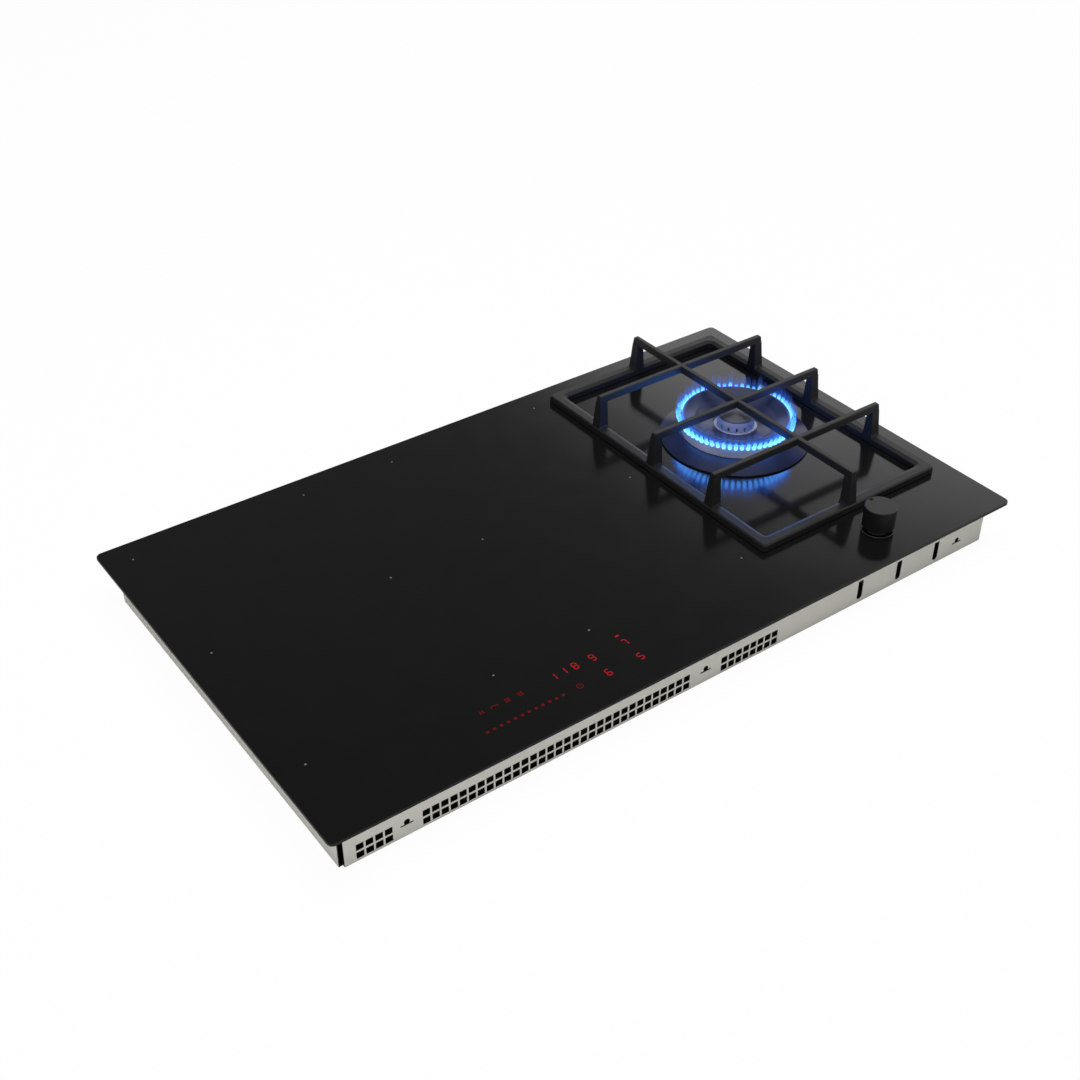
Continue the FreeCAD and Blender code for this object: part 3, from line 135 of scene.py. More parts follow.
def surface_marks() -> NodeTree:
    """Build the shader group for fine grain and faint handling marks.

    Returns:
        A group with outputs Colour, Roughness and Height.
    """
    group = bpy.data.node_groups.new("surface marks", "ShaderNodeTree")
    socket(group, "Vector", "INPUT", "NodeSocketVector")
    socket(group, "Colour", "INPUT", "NodeSocketColor", (0.5, 0.5, 0.5, 1.0))
    socket(group, "Grain Scale", "INPUT", "NodeSocketFloat", 1500.0)
    socket(group, "Colour Spread", "INPUT", "NodeSocketFloat", 0.1)
    socket(group, "Roughness", "INPUT", "NodeSocketFloat", 0.5)
    socket(group, "Roughness Spread", "INPUT", "NodeSocketFloat", 0.05)
    socket(group, "Colour", "OUTPUT", "NodeSocketColor")
    socket(group, "Roughness", "OUTPUT", "NodeSocketFloat")
    socket(group, "Height", "OUTPUT", "NodeSocketFloat")
    given = group.nodes.new("NodeGroupInput")
    result = group.nodes.new("NodeGroupOutput")
    fine = group.nodes.new("ShaderNodeTexNoise")
    fine.inputs["Detail"].default_value = FINE_DETAIL
    fine.inputs["Roughness"].default_value = FINE_ROUGHNESS
    group.links.new(given.outputs["Vector"], fine.inputs["Vector"])
    group.links.new(given.outputs["Grain Scale"], fine.inputs["Scale"])
    broad = group.nodes.new("ShaderNodeTexNoise")
    broad.inputs["Detail"].default_value = BROAD_DETAIL
    group.links.new(given.outputs["Vector"], broad.inputs["Vector"])
    scale = math_node(group, "MULTIPLY", given.outputs["Grain Scale"], BROAD_SHARE)
    group.links.new(scale, broad.inputs["Scale"])
    both = math_node(group, "ADD", fine.outputs["Fac"], broad.outputs["Fac"])
    swing = math_node(group, "SUBTRACT", both, 1.0)
    shade = math_node(group, "ADD", math_node(group, "MULTIPLY", swing, given.outputs["Colour Spread"]), 1.0)
    tint = group.nodes.new("ShaderNodeVectorMath")
    tint.operation = "SCALE"
    group.links.new(given.outputs["Colour"], tint.inputs[0])
    group.links.new(shade, tint.inputs["Scale"])
    group.links.new(tint.outputs[0], result.inputs["Colour"])
    rough = math_node(group, "ADD", math_node(group, "MULTIPLY", swing, given.outputs["Roughness Spread"]),
                      given.outputs["Roughness"])
    group.links.new(rough, result.inputs["Roughness"])
    group.links.new(fine.outputs["Fac"], result.inputs["Height"])
    return group


SURFACE_MARKS = surface_marks()
# Painted shade inside hollow pieces: faces deeper than this depth keep only this share of their colour
INSIDE_DEPTH = 0.02 * MM
INSIDE_SHADE_SHARE = 0.04


@dataclass(frozen=True)
class Finish:
    """A solid finish with grain in its colour, gloss and relief, and painted shade inside a hollow piece if
    one is named.
    """

    name: str
    colour: Colour
    roughness: float
    metallic: float = 0.0
    grain: float = 1500.0
    colour_spread: float = 0.25
    roughness_spread: float = 0.1
    relief: float = 0.0
    weave: Weave = Weave.GRAIN
    specular: float = 0.5
    painted_shade_inside: str = ""

    def inside_shade(self, tree: NodeTree, place: NodeSocket) -> NodeSocket:
        """Paint shade on the faces that lie inside a hollow piece.

        Args:
            tree: the material's tree.
            place: the place on the surface.

        Returns:
            1 outside and, inside, the share of colour that the painted shade leaves.
        """
        low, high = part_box(self.painted_shade_inside)
        away = tree.nodes.new("ShaderNodeVectorMath")
        away.operation = "SUBTRACT"
        tree.links.new(place, away.inputs[0])
        away.inputs[1].default_value = (low + high) / 2
        size = tree.nodes.new("ShaderNodeVectorMath")
        size.operation = "ABSOLUTE"
        tree.links.new(away.outputs[0], size.inputs[0])
        split = tree.nodes.new("ShaderNodeSeparateXYZ")
        tree.links.new(size.outputs[0], split.inputs[0])
        half = (high - low) / 2
        skin = math_node(tree, "MINIMUM", math_node(tree, "SUBTRACT", half.x, split.outputs["X"]),
                         math_node(tree, "SUBTRACT", half.y, split.outputs["Y"]))
        skin = math_node(tree, "MINIMUM", skin, math_node(tree, "SUBTRACT", half.z, split.outputs["Z"]))
        deep = math_node(tree, "GREATER_THAN", skin, INSIDE_DEPTH)
        return math_node(tree, "SUBTRACT", 1.0, math_node(tree, "MULTIPLY", deep, 1.0 - INSIDE_SHADE_SHARE))

    def build(self) -> Material:
        """Make the material.

        Returns:
            A node material named after the finish.
        """
        material = bpy.data.materials.new(self.name)
        material.use_nodes = True
        tree = material.node_tree
        shader = tree.nodes["Principled BSDF"]
        spot = tree.nodes.new("ShaderNodeTexCoord")
        turn = tree.nodes.new("ShaderNodeMapping")
        turn.inputs["Scale"].default_value = STRETCH[self.weave]
        tree.links.new(spot.outputs["Object"], turn.inputs["Vector"])
        marks = tree.nodes.new("ShaderNodeGroup")
        marks.node_tree = SURFACE_MARKS
        tree.links.new(turn.outputs["Vector"], marks.inputs["Vector"])
        marks.inputs["Colour"].default_value = (*self.colour, 1.0)
        marks.inputs["Grain Scale"].default_value = self.grain
        marks.inputs["Colour Spread"].default_value = self.colour_spread
        marks.inputs["Roughness"].default_value = self.roughness
        marks.inputs["Roughness Spread"].default_value = self.roughness_spread
        colour = marks.outputs["Colour"]
        # painted shade: faces inside the named hollow piece are darkened
        if self.painted_shade_inside:
            painted_shade = tree.nodes.new("ShaderNodeVectorMath")
            painted_shade.operation = "SCALE"
            tree.links.new(colour, painted_shade.inputs[0])
            tree.links.new(self.inside_shade(tree, spot.outputs["Object"]), painted_shade.inputs["Scale"])
            colour = painted_shade.outputs[0]
        tree.links.new(colour, shader.inputs["Base Color"])
        tree.links.new(marks.outputs["Roughness"], shader.inputs["Roughness"])
        shader.inputs["Metallic"].default_value = self.metallic
        shader.inputs["Specular IOR Level"].default_value = self.specular
        if self.relief:
            bump = tree.nodes.new("ShaderNodeBump")
            bump.inputs["Distance"].default_value = self.relief
            tree.links.new(marks.outputs["Height"], bump.inputs["Height"])
            tree.links.new(bump.outputs["Normal"], shader.inputs["Normal"])
        return material


@dataclass(frozen=True)
class FlameFinish:
    """A gas flame: light that thins out towards its tip.

    Each stop gives a height along the flame from 0 to 1, the colour of its light and how dense it is.
    The strength is the light's own, and mirrored is added to it in the gloss of the glass and the enamel.
    """

    name: str
    stops: tuple[tuple[float, Colour, float], ...]
    strength: float
    mirrored: float

    def build(self) -> Material:
        """Make the material, which reads the height along each flame from the attribute rise.

        Returns:
            A material that glows and lets light through.
        """
        material = bpy.data.materials.new(self.name)
        material.use_nodes = True
        material.surface_render_method = "BLENDED"
        tree = material.node_tree
        shader = tree.nodes["Principled BSDF"]
        rise = tree.nodes.new("ShaderNodeAttribute")
        rise.attribute_name = "rise"
        ramp = tree.nodes.new("ShaderNodeValToRGB")
        marks = ramp.color_ramp.elements
        while len(marks) < len(self.stops):
            marks.new(0.5)
        for mark, (height, colour, density) in zip(marks, self.stops):
            mark.position = height
            mark.color = (*colour, density)
        tree.links.new(rise.outputs["Fac"], ramp.inputs["Fac"])
        tree.links.new(ramp.outputs["Color"], shader.inputs["Emission Color"])
        tree.links.new(ramp.outputs["Alpha"], shader.inputs["Alpha"])
        shader.inputs["Base Color"].default_value = (0.0, 0.0, 0.0, 1.0)
        shader.inputs["Specular IOR Level"].default_value = 0.0
        shader.inputs["Roughness"].default_value = 1.0
        path = tree.nodes.new("ShaderNodeLightPath")
        more = math_node(tree, "MULTIPLY", path.outputs["Is Glossy Ray"], self.mirrored)
        shader.inputs["Emission Strength"].default_value = self.strength
        tree.links.new(math_node(tree, "ADD", more, self.strength), shader.inputs["Emission Strength"])
        return material


@dataclass(frozen=True)
class LampFinish:
    """A lit mark under the glass, a little uneven as such lamps are."""

    name: str
    colour: Colour
    spread: float = 0.4
    grain: float = 1200.0
    unlit: Colour = (0.006, 0.004, 0.004)
    roughness: float = 0.2
    specular: float = 0.15

    def build(self) -> Material:
        """Make the material.

        Returns:
            A dark surface that glows.
        """
        material = bpy.data.materials.new(self.name)
        material.use_nodes = True
        tree = material.node_tree
        shader = tree.nodes["Principled BSDF"]
        spot = tree.nodes.new("ShaderNodeTexCoord")
        marks = tree.nodes.new("ShaderNodeGroup")
        marks.node_tree = SURFACE_MARKS
        tree.links.new(spot.outputs["Object"], marks.inputs["Vector"])
        marks.inputs["Colour"].default_value = (*self.colour, 1.0)
        marks.inputs["Grain Scale"].default_value = self.grain
        marks.inputs["Colour Spread"].default_value = self.spread
        marks.inputs["Roughness"].default_value = self.roughness
        tree.links.new(marks.outputs["Colour"], shader.inputs["Emission Color"])
        tree.links.new(marks.outputs["Roughness"], shader.inputs["Roughness"])
        shader.inputs["Base Color"].default_value = (*self.unlit, 1.0)
        shader.inputs["Specular IOR Level"].default_value = self.specular
        shader.inputs["Emission Strength"].default_value = 1.0
        return material


FINISHES: dict[str, Finish] = {finish.name: finish for finish in (
    Finish("black_glass", (0.0045, 0.0045, 0.0045), 0.13, grain=2500.0, roughness_spread=0.04),
    # The casing's faces inside its tray get painted shade.
    Finish("casing_steel", (0.56, 0.555, 0.51), 0.5, grain=900.0, colour_spread=0.06, weave=Weave.ALONG_X,
           specular=0.3, painted_shade_inside="casing_tray"),
    Finish("black_iron", (0.0088, 0.0088, 0.0093), 0.48, grain=1400.0, colour_spread=0.35,
           roughness_spread=0.12, relief=0.12 * MM),
    Finish("foot_rubber", (0.02, 0.02, 0.02), 0.8, grain=2500.0, relief=0.05 * MM),
    # Painted flame light: the enamel's blue tint stands for the flames' blue glow on the burner. The dark
    # enamel is its own colour.
    Finish("burner_enamel", (0.011, 0.014, 0.027), 0.26, grain=1800.0, colour_spread=0.3,
           roughness_spread=0.05, relief=0.02 * MM, specular=0.17),
    Finish("burner_alloy", (0.29, 0.29, 0.305), 0.5, 0.15, grain=1200.0, colour_spread=0.16,
           relief=0.03 * MM),
    Finish("knob_plastic", (0.0048, 0.0048, 0.005), 0.42, grain=2600.0, colour_spread=0.2,
           roughness_spread=0.08, relief=0.02 * MM, specular=0.55),
    Finish("copper", (0.72, 0.42, 0.26), 0.35, 1.0, grain=700.0, colour_spread=0.3, relief=0.2 * MM),
    Finish("white_plastic", (0.80, 0.80, 0.77), 0.5, grain=900.0, colour_spread=0.06),
    Finish("ferrite", (0.05, 0.05, 0.055), 0.7, grain=2000.0, colour_spread=0.4, relief=0.1 * MM),
    Finish("aluminium", (0.72, 0.73, 0.75), 0.38, 1.0, grain=800.0, colour_spread=0.1, roughness_spread=0.12,
           relief=0.02 * MM, weave=Weave.ALONG_Y),
    Finish("zinc_steel", (0.60, 0.61, 0.62), 0.35, 1.0, grain=300.0, colour_spread=0.2, roughness_spread=0.2),
    Finish("circuit_board", (0.03, 0.17, 0.08), 0.35, grain=400.0, colour_spread=0.4, relief=0.05 * MM),
    Finish("black_plastic", (0.03, 0.03, 0.032), 0.5, grain=1800.0, relief=0.03 * MM),
    Finish("display_lamp", (0.35, 0.01, 0.008), 0.25, grain=600.0),
    Finish("brass", (0.78, 0.58, 0.28), 0.3, 1.0, grain=900.0, colour_spread=0.15, relief=0.02 * MM),
    Finish("ceramic", (0.84, 0.83, 0.80), 0.22, grain=700.0, colour_spread=0.06),
    Finish("probe_steel", (0.55, 0.50, 0.44), 0.33, 1.0, grain=900.0, colour_spread=0.15, relief=0.01 * MM,
           weave=Weave.UPRIGHT),
    Finish("silicone", (0.035, 0.035, 0.037), 0.72, grain=1800.0, relief=0.04 * MM),
)}
LIT_MARK = LampFinish("lit_mark", (0.50, 0.006, 0.008))
DIM_MARK = LampFinish("dim_mark", (0.145, 0.001, 0.001), 0.8)
# Painted highlight: the ring on the glass round the knob stands in for the highlight on the knob's lower edge
# and its reflection.
KNOB_HIGHLIGHT = Finish("knob_highlight_finish", (0.022, 0.022, 0.023), 0.5, grain=1500.0)
MARK_PAINT = Finish("mark_paint", (0.002, 0.002, 0.002), 0.7, grain=2500.0, specular=0.1)
ZONE_PRINT = Finish("zone_print", (0.13, 0.13, 0.135), 0.5, grain=2500.0)
FLAME_CORE = FlameFinish("flame_core", (
    (0.0, (0.08, 0.30, 1.0), 0.9), (0.4, (0.095, 0.33, 1.0), 1.0),
    (0.7, (0.045, 0.2, 0.9), 0.8), (0.95, (0.005, 0.03, 0.35), 0.0)), strength=4.4, mirrored=5.0)
FLAME_VEIL = FlameFinish("flame_veil", (
    (0.0, (0.02, 0.22, 0.9), 0.08), (0.35, (0.03, 0.19, 0.85), 0.14),
    (0.7, (0.05, 0.14, 0.7), 0.07), (1.0, (0.08, 0.1, 0.6), 0.0)), strength=1.5, mirrored=10.0)
# Painted light: lit copies of the burner enamel for the caps. The outer cap's blue tint stands for the
# flames' light on it, and the inner cap is made lighter for the light its dome reflects.
LIT_ENAMEL_COPIES: dict[str, Finish] = {
    "outer_cap": Finish("cap_enamel_flame_lit", (0.017, 0.021, 0.036), 0.3, grain=1800.0, roughness_spread=0.03,
                        relief=0.01 * MM),
    "inner_cap": Finish("inner_enamel_lit", (0.06, 0.06, 0.061), 0.36, grain=1800.0, roughness_spread=0.03,
                        relief=0.01 * MM),
}


# Mesh helpers

def new_object(name: str, mesh: Mesh) -> Object:
    """Put a mesh into the scene.

    Args:
        name: the piece's name.
        mesh: its mesh, already in place.

    Returns:
        The new object.
    """
    made = bpy.data.objects.new(name, mesh)
    bpy.context.scene.collection.objects.link(made)
    return made


def plates(name: str, outlines: list[list[Flat]], low: float, high: float) -> Object:
    """Make thin flat plates, one from each outline.

    Args:
        name: the piece's name.
        outlines: each plate's corners, anticlockwise from above, in metres.
        low: the plates' underside.
        high: the plates' top.

    Returns:
        One object with all plates.
    """
    shape = bmesh.new()
    for outline in outlines:
        under = [shape.verts.new((x, y, low)) for x, y in outline]
        over = [shape.verts.new((x, y, high)) for x, y in outline]
        shape.faces.new(over)
        shape.faces.new(list(reversed(under)))
        for i in range(len(outline)):
            j = (i + 1) % len(outline)
            shape.faces.new((under[i], under[j], over[j], over[i]))
    bmesh.ops.recalc_face_normals(shape, faces=shape.faces)
    mesh = bpy.data.meshes.new(name)
    shape.to_mesh(mesh)
    shape.free()
    return new_object(name, mesh)


def dress(piece: Object, material: Material) -> None:
    """Give a piece one material.

    Args:
        piece: the piece.
        material: its only material.
    """
    piece.data.materials.clear()
    piece.data.materials.append(material)


def grown(name: str, tree: NodeTree, values: dict[str, object], start: Mesh | None = None) -> Object:
    """Run a geometry tree once and keep its result as a plain mesh.

    Args:
        name: the piece's name.
        tree: the geometry tree.
        values: the tree's inputs by name.
        start: the mesh that the tree starts from, if it needs one.

    Returns:
        The finished piece, with no modifier.
    """
    piece = new_object(name, start or bpy.data.meshes.new(name))
    modifier = piece.modifiers.new("grow", "NODES")
    modifier.node_group = tree
    sockets = {item.name: item.identifier for item in tree.interface.items_tree
               if item.item_type == "SOCKET" and item.in_out == "INPUT"}
    for key, value in values.items():
        modifier[sockets[key]] = value
    view = bpy.context.evaluated_depsgraph_get()
    mesh = bpy.data.meshes.new_from_object(piece.evaluated_get(view), depsgraph=view)
    piece.modifiers.remove(modifier)
    piece.data = mesh
    mesh.name = name
    return piece


class GeometryTree:
    """A geometry node tree under construction."""

    def __init__(self, name: str, inputs: dict[str, str]) -> None:
        """Start a tree with named inputs, besides the material that every tree ends with.

        Args:
            name: the tree's name.
            inputs: each input's kind of value by its name.
        """
        self.tree = bpy.data.node_groups.new(name, "GeometryNodeTree")
        socket(self.tree, "Geometry", "INPUT", "NodeSocketGeometry")
        for label, kind in {**inputs, "Material": "Material"}.items():
            socket(self.tree, label, "INPUT", f"NodeSocket{kind}")
        socket(self.tree, "Geometry", "OUTPUT", "NodeSocketGeometry")
        self.given = self.tree.nodes.new("NodeGroupInput")
        self.result = self.tree.nodes.new("NodeGroupOutput")

    def add(self, kind: str, links: dict[str, object] | None = None, **options: object) -> Node:
        """Add one node.

        Args:
            kind: the node's type.
            links: inputs by name, each a socket to link or a plain value.
            options: the node's own settings.

        Returns:
            The new node.
        """
        node = self.tree.nodes.new(kind)
        for key, value in options.items():
            setattr(node, key, value)
        for key, value in (links or {}).items():
            place = next(s for s in node.inputs if s.name == key and s.enabled)
            if isinstance(value, NodeSocket):
                self.tree.links.new(value, place)
            else:
                place.default_value = value
        return node

    def input(self, name: str) -> NodeSocket:
        """The socket of a named input."""
        return self.given.outputs[name]

    def finish(self, geometry: NodeSocket) -> NodeTree:
        """Realize the instances, set the material and close the tree.

        Args:
            geometry: what the tree has made.

        Returns:
            The finished tree.
        """
        real = self.add("GeometryNodeRealizeInstances", {"Geometry": geometry})
        dressed = self.add("GeometryNodeSetMaterial",
                           {"Geometry": real.outputs["Geometry"], "Material": self.input("Material")})
        self.tree.links.new(dressed.outputs["Geometry"], self.result.inputs["Geometry"])
        return self.tree


# The gas flames

@dataclass(frozen=True)
class FlameShape:
    """Form of a flame: how far it leans out, its length, its half width and how much the flames differ."""

    reach: float
    length: float
    width: float
    spread: float


# Height along a flame and share of its width there
FLAME_OUTLINE: tuple[Flat, ...] = ((0.0, 0.8), (0.35, 1.0), (0.72, 0.85), (1.0, 0.2))


@dataclass
class FlameRing:
    """Flames that stand in the ports of the outer crown and ride with the crown."""

    ports: int = 60
    ring_radius: float = 66.4 * MM
    root_height: float = 24.0 * MM
    low_share: float = 0.25
    seed: int = 7
    steps: int = 10
    sides: int = 8
    core: FlameShape = FlameShape(4.7 * MM, 10.8 * MM, 2.3 * MM, 0.15)
    veil: FlameShape = FlameShape(4.5 * MM, 24.0 * MM, 3.4 * MM, 0.16)

    def tongue(self, kit: GeometryTree) -> NodeSocket:
        """Bend one flame outwards and up, and note the height along it in the attribute rise.

        Args:
            kit: the tree to add to.

        Returns:
            The flame's mesh.
        """
        reach = kit.input("Reach")
        knee = kit.add("ShaderNodeCombineXYZ", {"X": reach})
        tip = kit.add("ShaderNodeCombineXYZ", {"X": reach, "Z": kit.input("Length")})
        path = kit.add("GeometryNodeCurveQuadraticBezier", {
            "Resolution": self.steps, "Start": (0.0, 0.0, 0.0), "Middle": knee.outputs[0],
            "End": tip.outputs[0]})
        along = kit.add("GeometryNodeSplineParameter").outputs["Factor"]
        outline = kit.add("ShaderNodeFloatCurve", {"Value": along})
        points = outline.mapping.curves[0].points
        points[0].location, points[1].location = FLAME_OUTLINE[0], FLAME_OUTLINE[-1]
        for height, share in FLAME_OUTLINE[1:-1]:
            points.new(height, share)
        outline.mapping.update()
        noted = kit.add("GeometryNodeStoreNamedAttribute",
                        {"Geometry": path.outputs["Curve"], "Name": "rise", "Value": along},
                        data_type="FLOAT", domain="POINT")
        width = math_node(kit.tree, "MULTIPLY", outline.outputs[0], kit.input("Width"))
        sized = kit.add("GeometryNodeSetCurveRadius", {"Curve": noted.outputs["Geometry"], "Radius": width})
        section = kit.add("GeometryNodeCurvePrimitiveCircle", {"Resolution": self.sides, "Radius": 1.0})
        radius = kit.add("GeometryNodeInputRadius")
        skin = kit.add("GeometryNodeCurveToMesh", {
            "Curve": sized.outputs["Curve"], "Profile Curve": section.outputs["Curve"],
            "Scale": radius.outputs[0], "Fill Caps": True})
        return kit.add("GeometryNodeSetShadeSmooth", {"Geometry": skin.outputs["Mesh"]}).outputs["Geometry"]

    def tree(self) -> NodeTree:
        """Build the tree that sets a flame in every port, each a little different in length.

        Returns:
            The geometry tree.
        """
        kit = GeometryTree("flames", {
            "Ports": "Int", "Ring Radius": "Float", "Foot": "Vector", "Reach": "Float", "Length": "Float",
            "Width": "Float", "Spread": "Float", "Seed": "Int"})
        ring = kit.add("GeometryNodeMeshCircle",
                       {"Vertices": kit.input("Ports"), "Radius": kit.input("Ring Radius")})
        where = kit.add("GeometryNodeInputPosition")
        split = kit.add("ShaderNodeSeparateXYZ", {"Vector": where.outputs[0]})
        angle = math_node(kit.tree, "ARCTAN2", split.outputs["Y"], split.outputs["X"])
        turn = kit.add("ShaderNodeCombineXYZ", {"Z": angle})
        low = math_node(kit.tree, "SUBTRACT", 1.0, kit.input("Spread"))
        high = math_node(kit.tree, "ADD", 1.0, kit.input("Spread"))
        chance = kit.add("FunctionNodeRandomValue", {"Min": low, "Max": high, "Seed": kit.input("Seed")},
                         data_type="FLOAT")
        scatter = next(s for s in chance.outputs if s.enabled)
        size = kit.add("ShaderNodeCombineXYZ", {"X": scatter, "Y": 1.0, "Z": scatter})
        stand = kit.add("GeometryNodeInstanceOnPoints", {
            "Points": ring.outputs["Mesh"], "Instance": self.tongue(kit), "Rotation": turn.outputs[0],
            "Scale": size.outputs[0]})
        moved = kit.add("GeometryNodeTransform",
                        {"Geometry": stand.outputs["Instances"], "Translation": kit.input("Foot")})
        return kit.finish(moved.outputs["Geometry"])

    def build(self) -> list[Object]:
        """Make the bright roots and the faint tongues.

        Returns:
            The two rings of flames.
        """
        tree = self.tree()
        foot = (BURNER_X, BURNER_Y, GLASS_TOP + self.root_height)
        made = []
        for name, shape, finish in (("flame_roots", self.core, FLAME_CORE),
                                    ("flame_tongues", self.veil, FLAME_VEIL)):
            piece = grown(name, tree, {
                "Ports": self.ports, "Ring Radius": self.ring_radius, "Foot": foot, "Seed": self.seed,
                "Reach": shape.reach, "Length": shape.length, "Width": shape.width, "Spread": shape.spread,
                "Material": finish.build()})
            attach(piece, "burner_crown")
            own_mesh(piece)
            made.append(piece)
        return made


# Marks on the glass

SEGMENTS: dict[str, str] = {"1": "bc", "5": "acdfg", "6": "acdefg", "7": "abc", "8": "abcdefg", "9": "abcdfg"}


@dataclass
class Readout:
    """Lit figures, symbols and slider that shine through the glass above the touch board.

    The places in digits and symbols are in millimetres.
    """

    digit_height: float = 9.0 * MM
    digit_width: float = 5.0 * MM
    stroke: float = 1.1 * MM
    gap: float = 0.25 * MM
    skin: float = 0.06 * MM
    digits: tuple[tuple[str, float, float], ...] = (
        ("1", -160.4, -198.2), ("1", -147.2, -196.9), ("8", -132.9, -197.0), ("9", -111.1, -197.2),
        ("7", -69.5, -198.0), ("6", -111.4, -224.3), ("5", -69.9, -223.8))
    symbols: tuple[float, ...] = (-247.0, -232.0, -216.6, -201.0)
    symbol_y: float = -198.7 * MM
    tick_count: int = 12
    tick_start: float = -257.7 * MM
    tick_pitch: float = 8.15 * MM
    tick_y: float = -224.7 * MM
    tick_size: float = 3.0 * MM
    dash_place: Flat = (-69.9 * MM, -185.1 * MM)
    dash_size: Flat = (4.2 * MM, 2.0 * MM)
    pause_bar: Flat = (1.4 * MM, 4.0 * MM)
    bridge_top: Flat = (8.0 * MM, 0.9 * MM)
    bridge_rise: float = 1.0 * MM
    bridge_leg: Flat = (0.9 * MM, 2.2 * MM)
    bridge_drop: float = 0.5 * MM
    bridge_reach: float = 3.6 * MM
    dot: Flat = (2.2 * MM, 2.2 * MM)
    dot_offset: float = 1.5 * MM
    clock_place: Flat = (-146.8 * MM, -223.9 * MM)
    clock_radius: float = 3.6 * MM
    clock_line: float = 0.8 * MM
    hand_length: float = 1.6 * MM
    hand_rise: float = 0.5 * MM

    def segment(self, name: str, x: float, y: float) -> list[Flat]:
        """Outline of one bar of a figure.

        Args:
            name: the bar's letter, a to g, clockwise from the top with g in the middle.
            x: the figure's centre.
            y: the figure's centre.

        Returns:
            A six-cornered bar.
        """
        wide, high, half = self.digit_width / 2, self.digit_height / 2, self.stroke / 2
        if name in "adg":
            y += {"a": high, "g": 0.0, "d": -high}[name]
            left, right = x - wide + self.gap, x + wide - self.gap
            return [(left, y), (left + half, y - half), (right - half, y - half), (right, y),
                    (right - half, y + half), (left + half, y + half)]
        x += wide if name in "bc" else -wide
        top, foot = (high - self.gap, self.gap) if name in "bf" else (-self.gap, self.gap - high)
        top, foot = y + top, y + foot
        return [(x, foot), (x + half, foot + half), (x + half, top - half), (x, top), (x - half, top - half),
                (x - half, foot + half)]

    def block(self, x: float, y: float, wide: float, high: float) -> list[Flat]:
        """Outline of a small block.

        Args:
            x: its centre.
            y: its centre.
            wide: its width.
            high: its depth.

        Returns:
            Four corners.
        """
        return [(x - wide / 2, y - high / 2), (x + wide / 2, y - high / 2), (x + wide / 2, y + high / 2),
                (x - wide / 2, y + high / 2)]

    def ring(self, x: float, y: float, radius: float, thickness: float, steps: int = 20) -> list[list[Flat]]:
        """Outlines of a thin ring, in short pieces.

        Args:
            x: its centre.
            y: its centre.
            radius: its outer radius.
            thickness: its line's width.
            steps: how many pieces it has.

        Returns:
            One outline for each piece.
        """
        found = []
        for i in range(steps):
            a, b = (math.tau * k / steps for k in (i, i + 1))
            inner = radius - thickness
            found.append([(x + r * math.cos(t), y + r * math.sin(t))
                          for r, t in ((inner, a), (radius, a), (radius, b), (inner, b))])
        return found

    def lit(self) -> list[list[Flat]]:
        """Outlines of everything that shines bright.

        Returns:
            One outline for each bar.
        """
        found = [self.segment(bar, x * MM, y * MM) for sign, x, y in self.digits for bar in SEGMENTS[sign]]
        found.append(self.block(*self.dash_place, *self.dash_size))
        return found

    def dim(self) -> list[list[Flat]]:
        """Outlines of the dim symbols round the figures.

        Returns:
            One outline for each bar, dot and piece of the clock's ring.
        """
        pause, bridge, *fours = (x * MM for x in self.symbols)
        y = self.symbol_y
        sides = (-1.0, 1.0)
        found = [self.block(pause + side * self.pause_bar[0], y, *self.pause_bar) for side in sides]
        found.append(self.block(bridge, y + self.bridge_rise, *self.bridge_top))
        found += [self.block(bridge + side * self.bridge_reach, y - self.bridge_drop, *self.bridge_leg)
                  for side in sides]
        for centre in fours:
            found += [self.block(centre + across * self.dot_offset, y + along * self.dot_offset, *self.dot)
                      for across in sides for along in sides]
        x, y = self.clock_place
        found += self.ring(x, y, self.clock_radius, self.clock_line)
        found.append(self.block(x, y + self.hand_rise, self.clock_line, self.hand_length))
        return found

    def tick_tree(self) -> NodeTree:
        """Build the tree that sets small bars along the slider.

        Returns:
            The geometry tree.
        """
        kit = GeometryTree("slider ticks", {
            "Count": "Int", "Start": "Vector", "Pitch": "Vector", "Bar": "Vector"})
        line = kit.add("GeometryNodeMeshLine", {
            "Count": kit.input("Count"), "Start Location": kit.input("Start"), "Offset": kit.input("Pitch")},
            mode="OFFSET")
        bar = kit.add("GeometryNodeMeshCube", {"Size": kit.input("Bar")})
        rows = kit.add("GeometryNodeInstanceOnPoints",
                       {"Points": line.outputs["Mesh"], "Instance": bar.outputs["Mesh"]})
        return kit.finish(rows.outputs["Instances"])

    def build(self) -> list[Object]:
        """Make the lit figures, the dim symbols and the slider.

        Returns:
            Three pieces that lie on the glass.
        """
        top = GLASS_TOP + self.skin
        lit = plates("readout_figures", self.lit(), GLASS_TOP, top)
        dress(lit, LIT_MARK.build())
        dim_material = DIM_MARK.build()
        dim = plates("readout_symbols", self.dim(), GLASS_TOP, top)
        dress(dim, dim_material)
        middle = GLASS_TOP + self.skin / 2
        ticks = grown("readout_slider", self.tick_tree(), {
            "Count": self.tick_count, "Start": (self.tick_start, self.tick_y, middle),
            "Pitch": (self.tick_pitch, 0.0, 0.0), "Bar": (self.tick_size, self.tick_size, self.skin),
            "Material": dim_material})
        for piece in (lit, dim, ticks):
            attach(piece, "hob")
        return [lit, dim, ticks]


